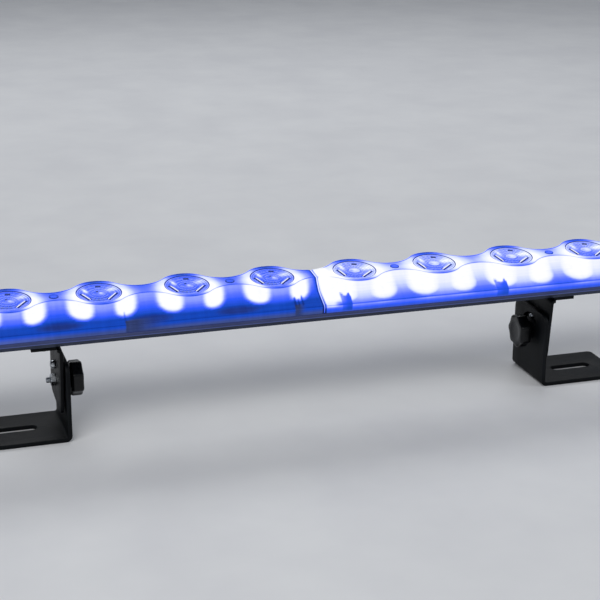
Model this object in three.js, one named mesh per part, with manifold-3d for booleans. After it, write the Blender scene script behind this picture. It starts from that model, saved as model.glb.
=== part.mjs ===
// Led strip batten: a slim metre-long light bar of twelve lensed LEDs under two wavy frosted
// covers, carried by two clamped floor brackets that let the bar tilt.
// Millimetres, +Z up, +X along the bar, front of the bar towards -Y.
// Origin: on the floor, under the middle of the object's bounding box.
import * as THREE from 'three';
import { mergeVertices } from 'three/addons/utils/BufferGeometryUtils.js';
import Module from 'manifold-3d';

const wasm = await Module();
wasm.setup();

// ---------------------------------------------------------------- driving dimensions
const PITCH = 83.333;            // lens to lens
const LENSES = 12;
const COVER_HALF = 500;          // covers and housing reach this far each way
const CAP_T = 8;                 // end cap thickness
const GAP = 0.3;                 // running and mating gap

// bar section, measured from the tilt axis
const Z_RIBBON = 85;             // top face of the wavy ribbon
const Z_FLANGE = 67;             // straight line where the cover wall ends and the skirt starts
const Z_SKIRT = 59.5;            // lower edge of the cover skirt
const Z_SIDE = 55.5;             // lower edge of the housing side
const Z_BELLY = 45.5;            // underside of the driver channel
const Y_SIDE = 37.5;             // half width of the bar
const Y_BELLY = 24;              // half width of the driver channel
const WALL = 2;                  // cover wall
const LOBE_R = 27;               // round lobes of the ribbon, concentric with the lenses
const NECK = 9.5;                // half width of the ribbon between lenses
const HOLE_R = 21.1;             // lens hole in the ribbon
const WALL_KNEE_Z = 74.5;        // the cover wall turns outwards here
const WALL_KNEE = 0.36;          // share of the outward run reached at the knee

// floor brackets
const AXIS_Z = 50;               // tilt axis above the floor
const REST_TILT = 6;             // degrees the bar leans to the front at rest
const TILT_SWING = 45;           // degrees each way from level that the arc slot allows
const LEG_IN = 242;              // inner face of the leg plate
const PLATE_T = 4;               // foot bracket plate
const LEG_H = 75;
const FOOT_D = 70;               // depth of the foot bracket along Y
const FOOT_OUT = 334;            // outer end of the foot plate
const SLOT_X0 = 270, SLOT_X1 = 314, SLOT_W = 11;
const EAR_IN = 247.5;            // inner face of the ear plate
const EAR_T = 3;
const EAR_W = 60;
const EAR_DROP = 24;             // ear below the tilt axis
const STUD_R = 3;
const GUIDE_R = 16;              // guide pin circle about the tilt axis
const PIN_R = 2;
const KNOB_R = 16.4;
const BRACKET_SHIFT = { left: 0, right: -4.5 };   // the brackets clamp anywhere along the bar

// bounding box centre in Y: the leaning bar reaches further to the front than the feet to the back
const Y_SHIFT = 4.6485;

// ---------------------------------------------------------------- materials
const std = (color, roughness, metalness) =>
  new THREE.MeshStandardMaterial({ color, roughness, metalness });
const M = {
  housing: std(0x8d929b, 0.42, 0.9),
  cover: std(0x7f9cf5, 0.35, 0.0),
  lens: std(0xdfe6f7, 0.05, 0.0),
  board: std(0xe9ebee, 0.5, 0.0),
  driver: std(0x1d5c3a, 0.5, 0.0),
  psu: std(0xb8bbc0, 0.4, 0.8),
  cap: std(0x17181b, 0.55, 0.0),
  socket: std(0x0f1012, 0.4, 0.1),
  plate: std(0x15171b, 0.5, 0.3),
  zinc: std(0xb9bdc4, 0.3, 0.95),
  cover_screw: std(0x5a72d8, 0.35, 0.0),
  knob: std(0x0e0f11, 0.6, 0.0),
  panel: std(0x1a1b1e, 0.45, 0.0),
  window: std(0x2a0d0d, 0.08, 0.0),
  button: std(0x3a3c41, 0.55, 0.0),
};

// ---------------------------------------------------------------- solid helpers
function solid(geometry) {
  let g = geometry.index ? geometry.toNonIndexed() : geometry.clone();
  for (const k of Object.keys(g.attributes)) if (k !== 'position') g.deleteAttribute(k);
  g = mergeVertices(g, 1e-4);
  const idx = Array.from(g.index.array);
  const pos = g.attributes.position;
  const tri = [];
  for (let i = 0; i < idx.length; i += 3) {
    const [a, b, c] = [idx[i], idx[i + 1], idx[i + 2]];
    if (a !== b && b !== c && a !== c) tri.push(a, b, c);
  }
  let vol = 0;
  const v = (i) => new THREE.Vector3().fromBufferAttribute(pos, i);
  for (let i = 0; i < tri.length; i += 3) {
    vol += v(tri[i]).dot(v(tri[i + 1]).cross(v(tri[i + 2])));
  }
  if (vol < 0) for (let i = 0; i < tri.length; i += 3) [tri[i], tri[i + 1]] = [tri[i + 1], tri[i]];
  return new wasm.Manifold(new wasm.Mesh({
    numProp: 3,
    vertProperties: new Float32Array(pos.array),
    triVerts: new Uint32Array(tri),
  }));
}
const join = (first, ...rest) => rest.reduce((a, b) => a.add(b), first);
const cut = (first, ...rest) => rest.reduce((a, b) => a.subtract(b), first);
function geometryOf(manifold) {
  const m = manifold.getMesh();
  const n = m.vertProperties.length / m.numProp;
  const pos = new Float32Array(n * 3);
  for (let i = 0; i < n; i++) for (let k = 0; k < 3; k++) pos[3 * i + k] = m.vertProperties[i * m.numProp + k];
  const g = new THREE.BufferGeometry();
  g.setAttribute('position', new THREE.BufferAttribute(pos, 3));
  g.setIndex(new THREE.BufferAttribute(new Uint32Array(m.triVerts), 1));
  g.computeVertexNormals();
  return g;
}
// box between two corners
function box(x0, x1, y0, y1, z0, z1) {
  const g = new THREE.BoxGeometry(x1 - x0, y1 - y0, z1 - z0);
  g.translate((x0 + x1) / 2, (y0 + y1) / 2, (z0 + z1) / 2);
  return solid(g);
}
// outline in the Y-Z plane, pushed along X
function prismX(points, x0, x1) {
  const shape = points instanceof THREE.Shape ? points : new THREE.Shape(points.map(([a, b]) => new THREE.Vector2(a, b)));
  const g = new THREE.ExtrudeGeometry(shape, { depth: x1 - x0, bevelEnabled: false, curveSegments: 4 });
  g.applyMatrix4(new THREE.Matrix4().set(0, 0, 1, x0, 1, 0, 0, 0, 0, 1, 0, 0, 0, 0, 0, 1));
  return solid(g);
}
// outline in the X-Y plane, pushed along Z
function prismZ(points, z0, z1) {
  const shape = points instanceof THREE.Shape ? points : new THREE.Shape(points.map(([a, b]) => new THREE.Vector2(a, b)));
  const g = new THREE.ExtrudeGeometry(shape, { depth: z1 - z0, bevelEnabled: false, curveSegments: 4 });
  g.translate(0, 0, z0);
  return solid(g);
}
function rodX(r, x0, x1, y = 0, z = 0, seg = 20) {
  const g = new THREE.CylinderGeometry(r, r, x1 - x0, seg);
  g.rotateZ(-Math.PI / 2);
  g.translate((x0 + x1) / 2, y, z);
  return solid(g);
}
function rodZ(r, z0, z1, x = 0, y = 0, seg = 20) {
  const g = new THREE.CylinderGeometry(r, r, z1 - z0, seg);
  g.rotateX(Math.PI / 2);
  g.translate(x, y, (z0 + z1) / 2);
  return solid(g);
}
// profile of [radius, height] turned about the Z axis
function turnZ(profile, seg = 28) {
  const g = new THREE.LatheGeometry(profile.map(([r, z]) => new THREE.Vector2(r, z)), seg);
  g.rotateX(Math.PI / 2);
  return solid(g);
}
function roundedRect(a0, a1, b0, b1, r) {
  const s = new THREE.Shape();
  s.moveTo(a0 + r, b0);
  s.lineTo(a1 - r, b0); s.absarc(a1 - r, b0 + r, r, -Math.PI / 2, 0, false);
  s.lineTo(a1, b1 - r); s.absarc(a1 - r, b1 - r, r, 0, Math.PI / 2, false);
  s.lineTo(a0 + r, b1); s.absarc(a0 + r, b1 - r, r, Math.PI / 2, Math.PI, false);
  s.lineTo(a0, b0 + r); s.absarc(a0 + r, b0 + r, r, Math.PI, 1.5 * Math.PI, false);
  return s;
}

const group = new THREE.Group();
const bar = new THREE.Group();            // origin on the tilt axis, leaning at rest
bar.position.set(0, Y_SHIFT, AXIS_Z);
bar.rotation.x = THREE.MathUtils.degToRad(REST_TILT);
const feet = new THREE.Group();           // origin on the floor under the tilt axis
feet.position.set(0, Y_SHIFT, 0);
const clamp = new THREE.Group();          // knobs, studs and nuts, on the tilt axis, not leaning
clamp.position.set(0, Y_SHIFT, AXIS_Z);
group.add(bar, feet, clamp);

function place(parent, name, manifold, material, x = 0, y = 0, z = 0) {
  const m = new THREE.Mesh(geometryOf(manifold), material);
  m.name = name;
  m.position.set(x, y, z);
  parent.add(m);
  return m;
}
const lensX = (i) => (i - (LENSES - 1) / 2) * PITCH;     // i = 0..11
const two = (n) => String(n).padStart(2, '0');
const SIDES = [['left', -1], ['right', 1]];
// a span along X given as distances from the middle, on side s
const span = (s, a, b) => (s < 0 ? [-b, -a] : [a, b]);

// ---------------------------------------------------------------- housing extrusion
const screwX = [];                         // cover screws, three to a cover
for (const i of [0, 2, 4]) screwX.push((lensX(i) + lensX(i + 1)) / 2);
for (const i of [6, 8, 10]) screwX.push((lensX(i) + lensX(i + 1)) / 2);

const WEB = 58.5;                          // top of the web that the LED boards lie on
const PANEL_X = [-440, -366], PANEL_Y = 17;
let housing = prismX([
  [-Y_BELLY, Z_BELLY], [Y_BELLY, Z_BELLY], [Y_BELLY, Z_SIDE], [Y_SIDE, Z_SIDE],
  [Y_SIDE, Z_SKIRT - GAP], [35.1, Z_SKIRT - GAP], [35.1, 64], [29, 64], [29, WEB],
  [-29, WEB], [-29, 64], [-35.1, 64], [-35.1, Z_SKIRT - GAP], [-Y_SIDE, Z_SKIRT - GAP],
  [-Y_SIDE, Z_SIDE], [-Y_BELLY, Z_SIDE],
], -COVER_HALF, COVER_HALF);
housing = cut(housing, box(-COVER_HALF - 1, COVER_HALF + 1, -22, 22, 47.5, 56.5));
housing = cut(housing, box(PANEL_X[0] - GAP, PANEL_X[1] + GAP, -PANEL_Y - GAP, PANEL_Y + GAP, Z_BELLY - 1, 48.5));
for (const x of screwX) housing = cut(housing, rodZ(1.9, 56, 59, x, 0, 8));
for (const [side, s] of SIDES) {
  for (const y of [-32, 32]) {
    const [a, b] = span(s, COVER_HALF - 14, COVER_HALF + 1);
    housing = cut(housing, rodX(1.9, a, b, y, 60.8, 8));
  }
  for (const y of [-16, 16]) housing = cut(housing, rodZ(2.4, Z_BELLY - 1, 48, s * 263 + BRACKET_SHIFT[side], y, 8));
}
const EYE_X = 352;
for (const x of [EYE_X - 10, EYE_X + 10]) housing = cut(housing, rodZ(2.4, Z_BELLY - 1, 48, x, 0, 8));
place(bar, 'housing', housing, M.housing);

// ---------------------------------------------------------------- wavy covers
// half width of the ribbon at a place along the bar
function ribbon(x) {
  let u = Math.abs(((x % PITCH) + PITCH) % PITCH - PITCH / 2);   // distance from the nearest lens
  const half = PITCH / 2;
  const r = (half * half + NECK * NECK - LOBE_R * LOBE_R) / (2 * (LOBE_R - NECK));
  const d = LOBE_R + r;
  const ut = (LOBE_R * half) / d;
  if (u <= ut) return Math.sqrt(LOBE_R * LOBE_R - u * u);
  return NECK + r - Math.sqrt(r * r - (half - u) * (half - u));
}
function coverSolid(x0, x1) {
  const steps = 48;
  const rings = [];
  for (let i = 0; i <= steps; i++) {
    const x = x0 + ((x1 - x0) * i) / steps;
    const w = ribbon(x);
    const knee = w + WALL_KNEE * (Y_SIDE - w);
    const outer = [[Y_SIDE, Z_SKIRT], [Y_SIDE, Z_FLANGE], [knee, WALL_KNEE_Z], [w, Z_RIBBON]];
    const inner = [[Y_SIDE - WALL, Z_SKIRT], [Y_SIDE - WALL, Z_FLANGE - 1.6], [knee - 1.2, WALL_KNEE_Z - 1.9], [w - 1.0, Z_RIBBON - WALL]];
    const loop = [];
    for (const [y, z] of outer) loop.push([x, -y, z]);
    for (const [y, z] of [...outer].reverse()) loop.push([x, y, z]);
    for (const [y, z] of inner) loop.push([x, y, z]);
    for (const [y, z] of [...inner].reverse()) loop.push([x, -y, z]);
    rings.push(loop);
  }
  const n = rings[0].length, pos = [], idx = [];
  for (const ring of rings) for (const p of ring) pos.push(...p);
  for (let i = 0; i < rings.length - 1; i++) {
    for (let j = 0; j < n; j++) {
      const a = i * n + j, b = i * n + ((j + 1) % n), c = a + n, d = b + n;
      idx.push(a, b, d, a, d, c);
    }
  }
  const h = n / 2;                       // end faces: strips between outer and inner outline
  for (const [base, flip] of [[0, false], [(rings.length - 1) * n, true]]) {
    for (let j = 0; j < h - 1; j++) {
      const o0 = base + j, o1 = base + j + 1, i0 = base + n - 1 - j, i1 = base + n - 2 - j;
      if (flip) idx.push(o0, o1, i1, o0, i1, i0); else idx.push(o0, i1, o1, o0, i0, i1);
    }
  }
  const g = new THREE.BufferGeometry();
  g.setAttribute('position', new THREE.Float32BufferAttribute(pos, 3));
  g.setIndex(idx);
  return solid(g);
}
const SEAM = 0.4;
for (const [side, s] of SIDES) {
  const [a, b] = span(s, SEAM, COVER_HALF);
  let cover = coverSolid(a, b);
  const mine = screwX.filter((x) => x * s > 0);
  for (const x of mine) cover = join(cover, rodZ(4.2, 60.9, Z_RIBBON - 1, x, 0, 8));
  for (const x of mine) cover = cut(cover, rodZ(2.1, 58, Z_RIBBON + 1, x, 0, 6), rodZ(4.9, Z_RIBBON - 1.1, Z_RIBBON + 1, x, 0, 12));
  for (let i = 0; i < LENSES; i++) {
    if (lensX(i) * s > 0) cover = cut(cover, rodZ(HOLE_R, Z_RIBBON - 6, Z_RIBBON + 2, lensX(i), 0, 26));
  }
  place(bar, `cover_${side}`, cover, M.cover);
}
for (let k = 0; k < screwX.length; k++) {
  const screw = join(rodZ(4.5, Z_RIBBON - 0.8, Z_RIBBON + 0.2, 0, 0, 12), rodZ(1.5, 57, Z_RIBBON - 0.7, 0, 0, 6));
  place(bar, `cover_screw_${two(k + 1)}`, screw, M.cover_screw, screwX[k], 0, 0);
}

// ---------------------------------------------------------------- LED boards and lenses
const BOARD_Z = WEB + GAP, BOARD_T = 1.6;
const BOARD_TOP = BOARD_Z + BOARD_T;       // 60.4
for (const [side, s] of SIDES) {
  const [a, b] = span(s, 1.5, COVER_HALF - 1.5);
  let board = box(a, b, -28.5, 28.5, BOARD_Z, BOARD_TOP);
  for (const x of screwX.filter((x) => x * s > 0)) board = cut(board, rodZ(2.0, BOARD_Z - 1, BOARD_TOP + 1, x, 0, 8));
  const chips = [];
  for (let i = 0; i < LENSES; i++) {
    if (lensX(i) * s < 0) continue;
    chips.push(rodZ(4, BOARD_TOP - 0.3, BOARD_TOP + 1.2, lensX(i), 0, 8));              // main emitter
    chips.push(cut(rodZ(10.7, BOARD_TOP - 0.3, BOARD_TOP + 3.6, lensX(i), 0, 12),
      rodZ(9.2, BOARD_TOP - 1, BOARD_TOP + 5, lensX(i), 0, 12)));                         // lens seat ring
    for (const f of [-0.25, 0.25]) for (const y of [-23, 23]) {
      const x = lensX(i) + f * PITCH;
      chips.push(box(x - 2.5, x + 2.5, y - 2.5, y + 2.5, BOARD_TOP - 0.3, BOARD_TOP + 1.4)); // edge-glow emitters
    }
  }
  place(bar, `led_board_${side}`, join(board, ...chips), M.board);
}
const LENS_TOP = Z_RIBBON - 0.3;
const lensProfile = [
  [0, BOARD_TOP + 6.4], [4.5, BOARD_TOP + 1.9], [7.4, BOARD_TOP + 1.9],
  [13.6, BOARD_TOP + 12], [20.7, BOARD_TOP + 21],
  [20.7, LENS_TOP], [19.2, LENS_TOP], [18.6, LENS_TOP - 0.7], [6.2, LENS_TOP - 0.7], [5.2, LENS_TOP - 0.2], [0, LENS_TOP - 0.2],
];
for (let i = 0; i < LENSES; i++) {
  place(bar, `lens_${two(i + 1)}`, turnZ(lensProfile, 16), M.lens, lensX(i), 0, 0);
}

// ---------------------------------------------------------------- electronics in the channel
const psu = join(box(-150, 60, -19, 19, 47.9, 54.6), box(-144, -110, -15, 15, 54, 56.1), box(-60, 40, -14, 14, 54, 56.1));
place(bar, 'power_supply', psu, M.psu);
// the driver board hangs its parts downwards; its left end carries the display and the key switches
const DISPLAY_X = [PANEL_X[0] + 5, PANEL_X[0] + 33];
const KEYS = [];
for (const x of [PANEL_X[0] + 43, PANEL_X[0] + 61]) for (const y of [-8.5, 8.5]) KEYS.push([x, y]);
let driver = box(-448, -170, -20, 20, 52.6, 54.2);
driver = join(driver, box(-345, -325, -9, 9, 48, 52.8), box(-300, -286, -12, 2, 50, 52.8),
  box(-240, -215, -14, 14, 47.9, 52.8), box(-205, -190, -6, 14, 49.4, 52.8),
  box(DISPLAY_X[0] + 2.2, DISPLAY_X[1] - 2.2, -7.8, 7.8, 46.9, 52.8));
for (const [x, y] of KEYS) driver = join(driver, box(x - 2.5, x + 2.5, y - 2.5, y + 2.5, 51.4, 52.8));
place(bar, 'driver_board', driver, M.driver);

// ---------------------------------------------------------------- end caps and sockets
const CAP0 = COVER_HALF + GAP, CAP1 = COVER_HALF + CAP_T;
const SOCK_Y = 16.5, SOCK_Z = 61.5, SOCK_R = 12;
const capOutline = [
  [-Y_BELLY, Z_BELLY], [Y_BELLY, Z_BELLY], [Y_BELLY + 3, Z_SIDE - 3], [Y_SIDE, Z_SIDE], [Y_SIDE, Z_FLANGE],
  [31, WALL_KNEE_Z + 1], [24, Z_RIBBON - 2], [20, Z_RIBBON], [-20, Z_RIBBON], [-24, Z_RIBBON - 2],
  [-31, WALL_KNEE_Z + 1], [-Y_SIDE, Z_FLANGE], [-Y_SIDE, Z_SIDE], [-Y_BELLY - 3, Z_SIDE - 3],
];
for (const [side, s] of SIDES) {
  const [a, b] = span(s, CAP0, CAP1);
  let cap = prismX(capOutline, a, b);
  for (const y of [-SOCK_Y, SOCK_Y]) cap = cut(cap, rodX(SOCK_R + GAP, a - 1, b + 1, y, SOCK_Z, 14));
  for (const y of [-32, 32]) {
    cap = cut(cap, rodX(1.9, a - 1, b + 1, y, 60.8, 8));
    const [h0, h1] = span(s, CAP1 - 2.2, CAP1 + 1);
    cap = cut(cap, rodX(3.5, h0, h1, y, 60.8, 12));
  }
  // room in the housing web and boards behind the cap is kept by short sockets
  place(bar, `end_cap_${side}`, cap, M.cap);
  // the sockets pass the cap and stop short of the housing
  for (const [role, y, pins] of [['power', -SOCK_Y, 'blade'], ['data', SOCK_Y, 'round']]) {
    const dir = s < 0 ? 'in' : 'out';
    const [c0, c1] = span(s, CAP0, CAP1 + 9);            // barrel
    const [f0, f1] = span(s, CAP1 + GAP, CAP1 + 2.3);    // flange against the cap
    const [h0, h1] = span(s, CAP0 + 2.6, CAP1 + 10);     // mouth
    let body = join(rodX(SOCK_R, c0, c1, y, SOCK_Z, 14), rodX(SOCK_R + 2.4, f0, f1, y, SOCK_Z, 14));
    body = cut(body, rodX(SOCK_R - 1.7, h0, h1, y, SOCK_Z, 14));
    const contacts = [];
    const [p0, p1] = span(s, CAP0 + 2, CAP1 + 4.5);
    for (const deg of [90, 210, 330]) {
      const t = THREE.MathUtils.degToRad(deg);
      const cy = y + 6.4 * Math.cos(t), cz = SOCK_Z + 6.4 * Math.sin(t);
      contacts.push(pins === 'round' ? rodX(1.2, p0, p1, cy, cz, 6) : box(p0, p1, cy - 0.9, cy + 0.9, cz - 1.8, cz + 1.8));
    }
    place(bar, `${role}_${dir}_socket`, join(body, ...contacts), M.socket);
  }
  let n = 0;
  for (const y of [-32, 32]) {
    n += 1;
    const [g0, g1] = span(s, CAP1 - 1.9, CAP1 - 0.2);
    const [t0, t1] = span(s, COVER_HALF - 11, CAP1 - 1.7);
    place(bar, `end_screw_${side}_${n}`, join(rodX(3.0, g0, g1, y, 60.8, 12), rodX(1.5, t0, t1, y, 60.8, 8)), M.zinc);
  }
}

// ---------------------------------------------------------------- tilt ears on the bar
for (const [side, s] of SIDES) {
  const [a, b] = span(s, EAR_IN, EAR_IN + EAR_T);
  const [fa, fb] = span(s, EAR_IN, EAR_IN + 28);
  const topZ = Z_BELLY - GAP;
  const shape = new THREE.Shape();
  const w = EAR_W / 2, r = 10;
  shape.moveTo(-w, topZ); shape.lineTo(-w, -EAR_DROP + r);
  shape.absarc(-w + r, -EAR_DROP + r, r, Math.PI, 1.5 * Math.PI, false);
  shape.lineTo(w - r, -EAR_DROP);
  shape.absarc(w - r, -EAR_DROP + r, r, 1.5 * Math.PI, 2 * Math.PI, false);
  shape.lineTo(w, topZ);
  let ear = join(prismX(shape, a, b), box(fa, fb, -w + 6, w - 6, topZ - EAR_T, topZ));
  ear = cut(ear, rodX(STUD_R + GAP, a - 1, b + 1, 0, 0, 20), rodX(PIN_R + 0.3, a - 1, b + 1, 0, GUIDE_R, 12));
  for (const y of [-16, 16]) ear = cut(ear, rodZ(2.4, topZ - EAR_T - 1, topZ + 1, s * 263, y, 8));
  const dx = BRACKET_SHIFT[side];
  place(bar, `tilt_ear_${side}`, ear, M.plate, dx);
  let n = 0;
  for (const y of [-16, 16]) {
    n += 1;
    const hz = topZ - EAR_T - GAP;
    place(bar, `ear_screw_${side}_${n}`, join(rodZ(4, hz - 2.4, hz, 0, 0, 12), rodZ(2, hz - 0.2, 47.2, 0, 0, 8)), M.zinc, s * 263 + dx, y, 0);
  }
  // guide pin: head outside the ear, shank through the arc slot of the leg
  const [h0, h1] = span(s, EAR_IN + EAR_T + GAP, EAR_IN + EAR_T + 4.6);
  const [p0, p1] = span(s, LEG_IN - 1, EAR_IN + EAR_T + 1);
  place(bar, `guide_pin_${side}`, join(rodX(4, h0, h1, 0, GUIDE_R, 14), rodX(PIN_R, p0, p1, 0, GUIDE_R, 12)), M.zinc, dx);
}

// ---------------------------------------------------------------- floor brackets
for (const [side, s] of SIDES) {
  const [a, b] = span(s, LEG_IN, LEG_IN + PLATE_T);
  const [fa, fb] = span(s, LEG_IN, FOOT_OUT);
  const h = FOOT_D / 2, r = 10;
  const leg = new THREE.Shape();
  leg.moveTo(-h, 0); leg.lineTo(h, 0); leg.lineTo(h, LEG_H - r);
  leg.absarc(h - r, LEG_H - r, r, 0, Math.PI / 2, false);
  leg.lineTo(-h + r, LEG_H);
  leg.absarc(-h + r, LEG_H - r, r, Math.PI / 2, Math.PI, false);
  let foot = join(prismX(leg, a, b), prismZ(roundedRect(fa, fb, -h, h, 3), 0, PLATE_T));
  foot = join(foot, box(...span(s, LEG_IN, LEG_IN + 20), -h, h, 0, PLATE_T));
  foot = cut(foot, rodX(STUD_R + GAP, a - 1, b + 1, 0, AXIS_Z, 20));
  // arc slot about the tilt axis for the guide pin
  const arc = new THREE.Shape();
  const w = PIN_R + 0.45, ang = THREE.MathUtils.degToRad(TILT_SWING), up = Math.PI / 2;
  arc.absarc(0, 0, GUIDE_R + w, up - ang, up + ang, false);
  arc.absarc(GUIDE_R * Math.cos(up + ang), GUIDE_R * Math.sin(up + ang), w, up + ang, up + ang + Math.PI, false);
  arc.absarc(0, 0, GUIDE_R - w, up + ang, up - ang, true);
  arc.absarc(GUIDE_R * Math.cos(up - ang), GUIDE_R * Math.sin(up - ang), w, up - ang + Math.PI, up - ang + 2 * Math.PI, false);
  const slotArc = prismX(arc, a - 1, b + 1).translate([0, 0, AXIS_Z]);
  foot = cut(foot, slotArc);
  // long slot for a hook clamp or floor bolt
  foot = cut(foot, prismZ(roundedRect(...span(s, SLOT_X0, SLOT_X1), -SLOT_W / 2, SLOT_W / 2, SLOT_W / 2 - 0.01), -1, PLATE_T + 1));
  const dx = BRACKET_SHIFT[side];
  place(feet, `foot_bracket_${side}`, foot, M.plate, dx);

  // clamp: washer between leg and ear, stud, nut and knob, all on the tilt axis
  const [w0, w1] = span(s, LEG_IN + PLATE_T + GAP, EAR_IN - GAP);
  place(clamp, `friction_washer_${side}`, cut(rodX(11, w0, w1, 0, 0, 20), rodX(STUD_R + GAP, w0 - 1, w1 + 1, 0, 0, 20)), M.zinc, dx);
  const nut = new THREE.Shape();
  for (let k = 0; k < 6; k++) {
    const t = (k * Math.PI) / 3;
    nut[k ? 'lineTo' : 'moveTo'](5.8 * Math.cos(t), 5.8 * Math.sin(t));
  }
  const [n0, n1] = span(s, EAR_IN + EAR_T + GAP, EAR_IN + EAR_T + 4.8);
  place(clamp, `lock_nut_${side}`, cut(prismX(nut, n0, n1), rodX(STUD_R + GAP, n0 - 1, n1 + 1, 0, 0, 20)), M.zinc, dx);
  const [s0, s1] = span(s, LEG_IN - 12, EAR_IN + EAR_T + 9);
  place(clamp, `clamp_stud_${side}`, rodX(STUD_R, s0, s1, 0, 0, 20), M.zinc, dx);
  const lobes = new THREE.Shape();
  const N = 56;
  for (let k = 0; k < N; k++) {
    const t = (k / N) * 2 * Math.PI, rr = KNOB_R + 0.9 * Math.cos(7 * t);
    lobes[k ? 'lineTo' : 'moveTo'](rr * Math.cos(t), rr * Math.sin(t));
  }
  const [k0, k1] = span(s, LEG_IN - 16, LEG_IN - 4.5);
  const [c0, c1] = span(s, LEG_IN - 5, LEG_IN - GAP);
  const [b0, b1] = span(s, LEG_IN - 12 - GAP, LEG_IN + 1);
  const knob = cut(join(prismX(lobes, k0, k1), rodX(9, c0, c1, 0, 0, 20)), rodX(STUD_R + GAP, b0, b1, 0, 0, 20));
  place(clamp, `clamp_knob_${side}`, knob, M.knob, dx);
}

// ---------------------------------------------------------------- control panel under the channel
{
  const [x0, x1] = PANEL_X;
  const zf = Z_BELLY - 1.0;                               // outer face, 1 mm proud
  let panel = join(box(x0, x1, -PANEL_Y, PANEL_Y, zf + 0.6, 48.9), box(x0 - 2.5, x1 + 2.5, -PANEL_Y - 2.5, PANEL_Y + 2.5, zf, Z_BELLY - GAP));
  const WX = DISPLAY_X;
  panel = cut(panel, box(WX[0], WX[1], -10, 10, zf - 1, zf + 1.6), box(WX[0] + 1.9, WX[1] - 1.9, -8.1, 8.1, zf, 50));
  for (const [x, y] of KEYS) panel = cut(panel, rodZ(4.5, zf - 1, 50, x, y, 14));
  place(bar, 'control_panel', panel, M.panel);
  place(bar, 'display_window', box(WX[0] + GAP, WX[1] - GAP, -10 + GAP, 10 - GAP, zf + 0.1, zf + 1.3), M.window);
  KEYS.forEach(([x, y], k) => {
    // a cap with a shoulder inside the panel keeps the button from dropping out
    const b = join(rodZ(4.1, zf - 1.2, 49.3, 0, 0, 14), rodZ(5.4, 49.2, 50.4, 0, 0, 14));
    place(bar, `menu_button_${k + 1}`, b, M.button, x, y, 0);
  });
}

// ---------------------------------------------------------------- safety eye
{
  const z = Z_BELLY - GAP;
  const path = new THREE.CatmullRomCurve3([
    new THREE.Vector3(-10, 0, 47.2), new THREE.Vector3(-10, 0, 42), new THREE.Vector3(-9.4, 0, 36.5),
    new THREE.Vector3(-5.6, 0, 32), new THREE.Vector3(0, 0, 30.2), new THREE.Vector3(5.6, 0, 32),
    new THREE.Vector3(9.4, 0, 36.5), new THREE.Vector3(10, 0, 42), new THREE.Vector3(10, 0, 47.2),
  ]);
  const ring = new THREE.Shape();
  for (let k = 0; k < 8; k++) {
    const t = (k * 2 * Math.PI) / 8;
    ring[k ? 'lineTo' : 'moveTo'](2 * Math.cos(t), 2 * Math.sin(t));
  }
  const loop = solid(new THREE.ExtrudeGeometry(ring, { steps: 14, bevelEnabled: false, extrudePath: path }));
  place(bar, 'safety_eye', join(loop, box(-14, 14, -5, 5, z - 2.5, z)), M.zinc, EYE_X, 0, 0);
}

export default group;
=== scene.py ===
# Led strip batten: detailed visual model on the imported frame. Metres; part dimensions below are in
# millimetres in the bar's own axes (x along the bar, y<0 front, z up from the tilt axis).
import bpy, math
import numpy as np
from mathutils import Vector, Matrix


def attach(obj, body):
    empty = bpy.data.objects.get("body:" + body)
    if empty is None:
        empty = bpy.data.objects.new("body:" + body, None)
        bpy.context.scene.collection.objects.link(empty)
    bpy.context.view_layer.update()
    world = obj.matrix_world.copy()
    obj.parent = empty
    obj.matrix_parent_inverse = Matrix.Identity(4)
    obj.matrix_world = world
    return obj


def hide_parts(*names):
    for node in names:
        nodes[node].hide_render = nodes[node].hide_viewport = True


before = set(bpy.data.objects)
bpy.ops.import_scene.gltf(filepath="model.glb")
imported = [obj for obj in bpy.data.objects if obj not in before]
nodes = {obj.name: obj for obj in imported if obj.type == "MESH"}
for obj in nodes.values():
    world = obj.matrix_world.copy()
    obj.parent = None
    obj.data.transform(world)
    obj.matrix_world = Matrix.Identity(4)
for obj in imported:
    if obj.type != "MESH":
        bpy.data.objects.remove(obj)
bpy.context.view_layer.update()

# ------------------------------------------------------------------ driving dimensions (mm)
P = 83.333
COVER_HALF = 500.0
Z_RIBBON, Z_FLANGE, Z_SKIRT, Z_SIDE, Z_BELLY = 85.0, 67.0, 59.5, 55.5, 45.5
Y_SIDE, Y_BELLY = 37.5, 24.0
LOBE_R, NECK, HOLE_R = 27.0, 9.5, 21.1
KNEE_Z, KNEE = 74.5, 0.36
TILT = math.radians(6.0)
YS = 0.0046485
LENS_X = [(i - 5.5) * P for i in range(12)]
SCREW_X = [(LENS_X[i] + LENS_X[i + 1]) / 2 for i in (0, 2, 4, 6, 8, 10)]

MM = Matrix.Scale(0.001, 4)
BAR = Matrix.Translation((0, YS, 0.050)) @ Matrix.Rotation(TILT, 4, "X") @ MM
FOOT = Matrix.Translation((0, YS, 0.0)) @ MM
CLAMP = Matrix.Translation((0, YS, 0.050)) @ MM
DX = {"left": 0.0, "right": -4.5}                      # the right-hand bracket sits nearer the middle


def at(frame_matrix, side):
    return frame_matrix @ Matrix.Translation((DX[side], 0, 0))


def ribbon(x):
    x = np.asarray(x, float)
    h = P / 2
    u = np.abs(np.mod(x, P) - h)
    r = (h * h + NECK * NECK - LOBE_R * LOBE_R) / (2 * (LOBE_R - NECK))
    ut = LOBE_R * h / (LOBE_R + r)
    return np.where(u <= ut, np.sqrt(np.maximum(LOBE_R**2 - u * u, 0)),
                    NECK + r - np.sqrt(np.maximum(r * r - (h - u) ** 2, 0)))


# ------------------------------------------------------------------ glow of the frosted covers
def step(a, b, v):
    t = np.clip((v - a) / (b - a), 0, 1)
    return t * t * (3 - 2 * t)


def gauss(v, s):
    return np.exp(-(v / s) ** 2)


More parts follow.
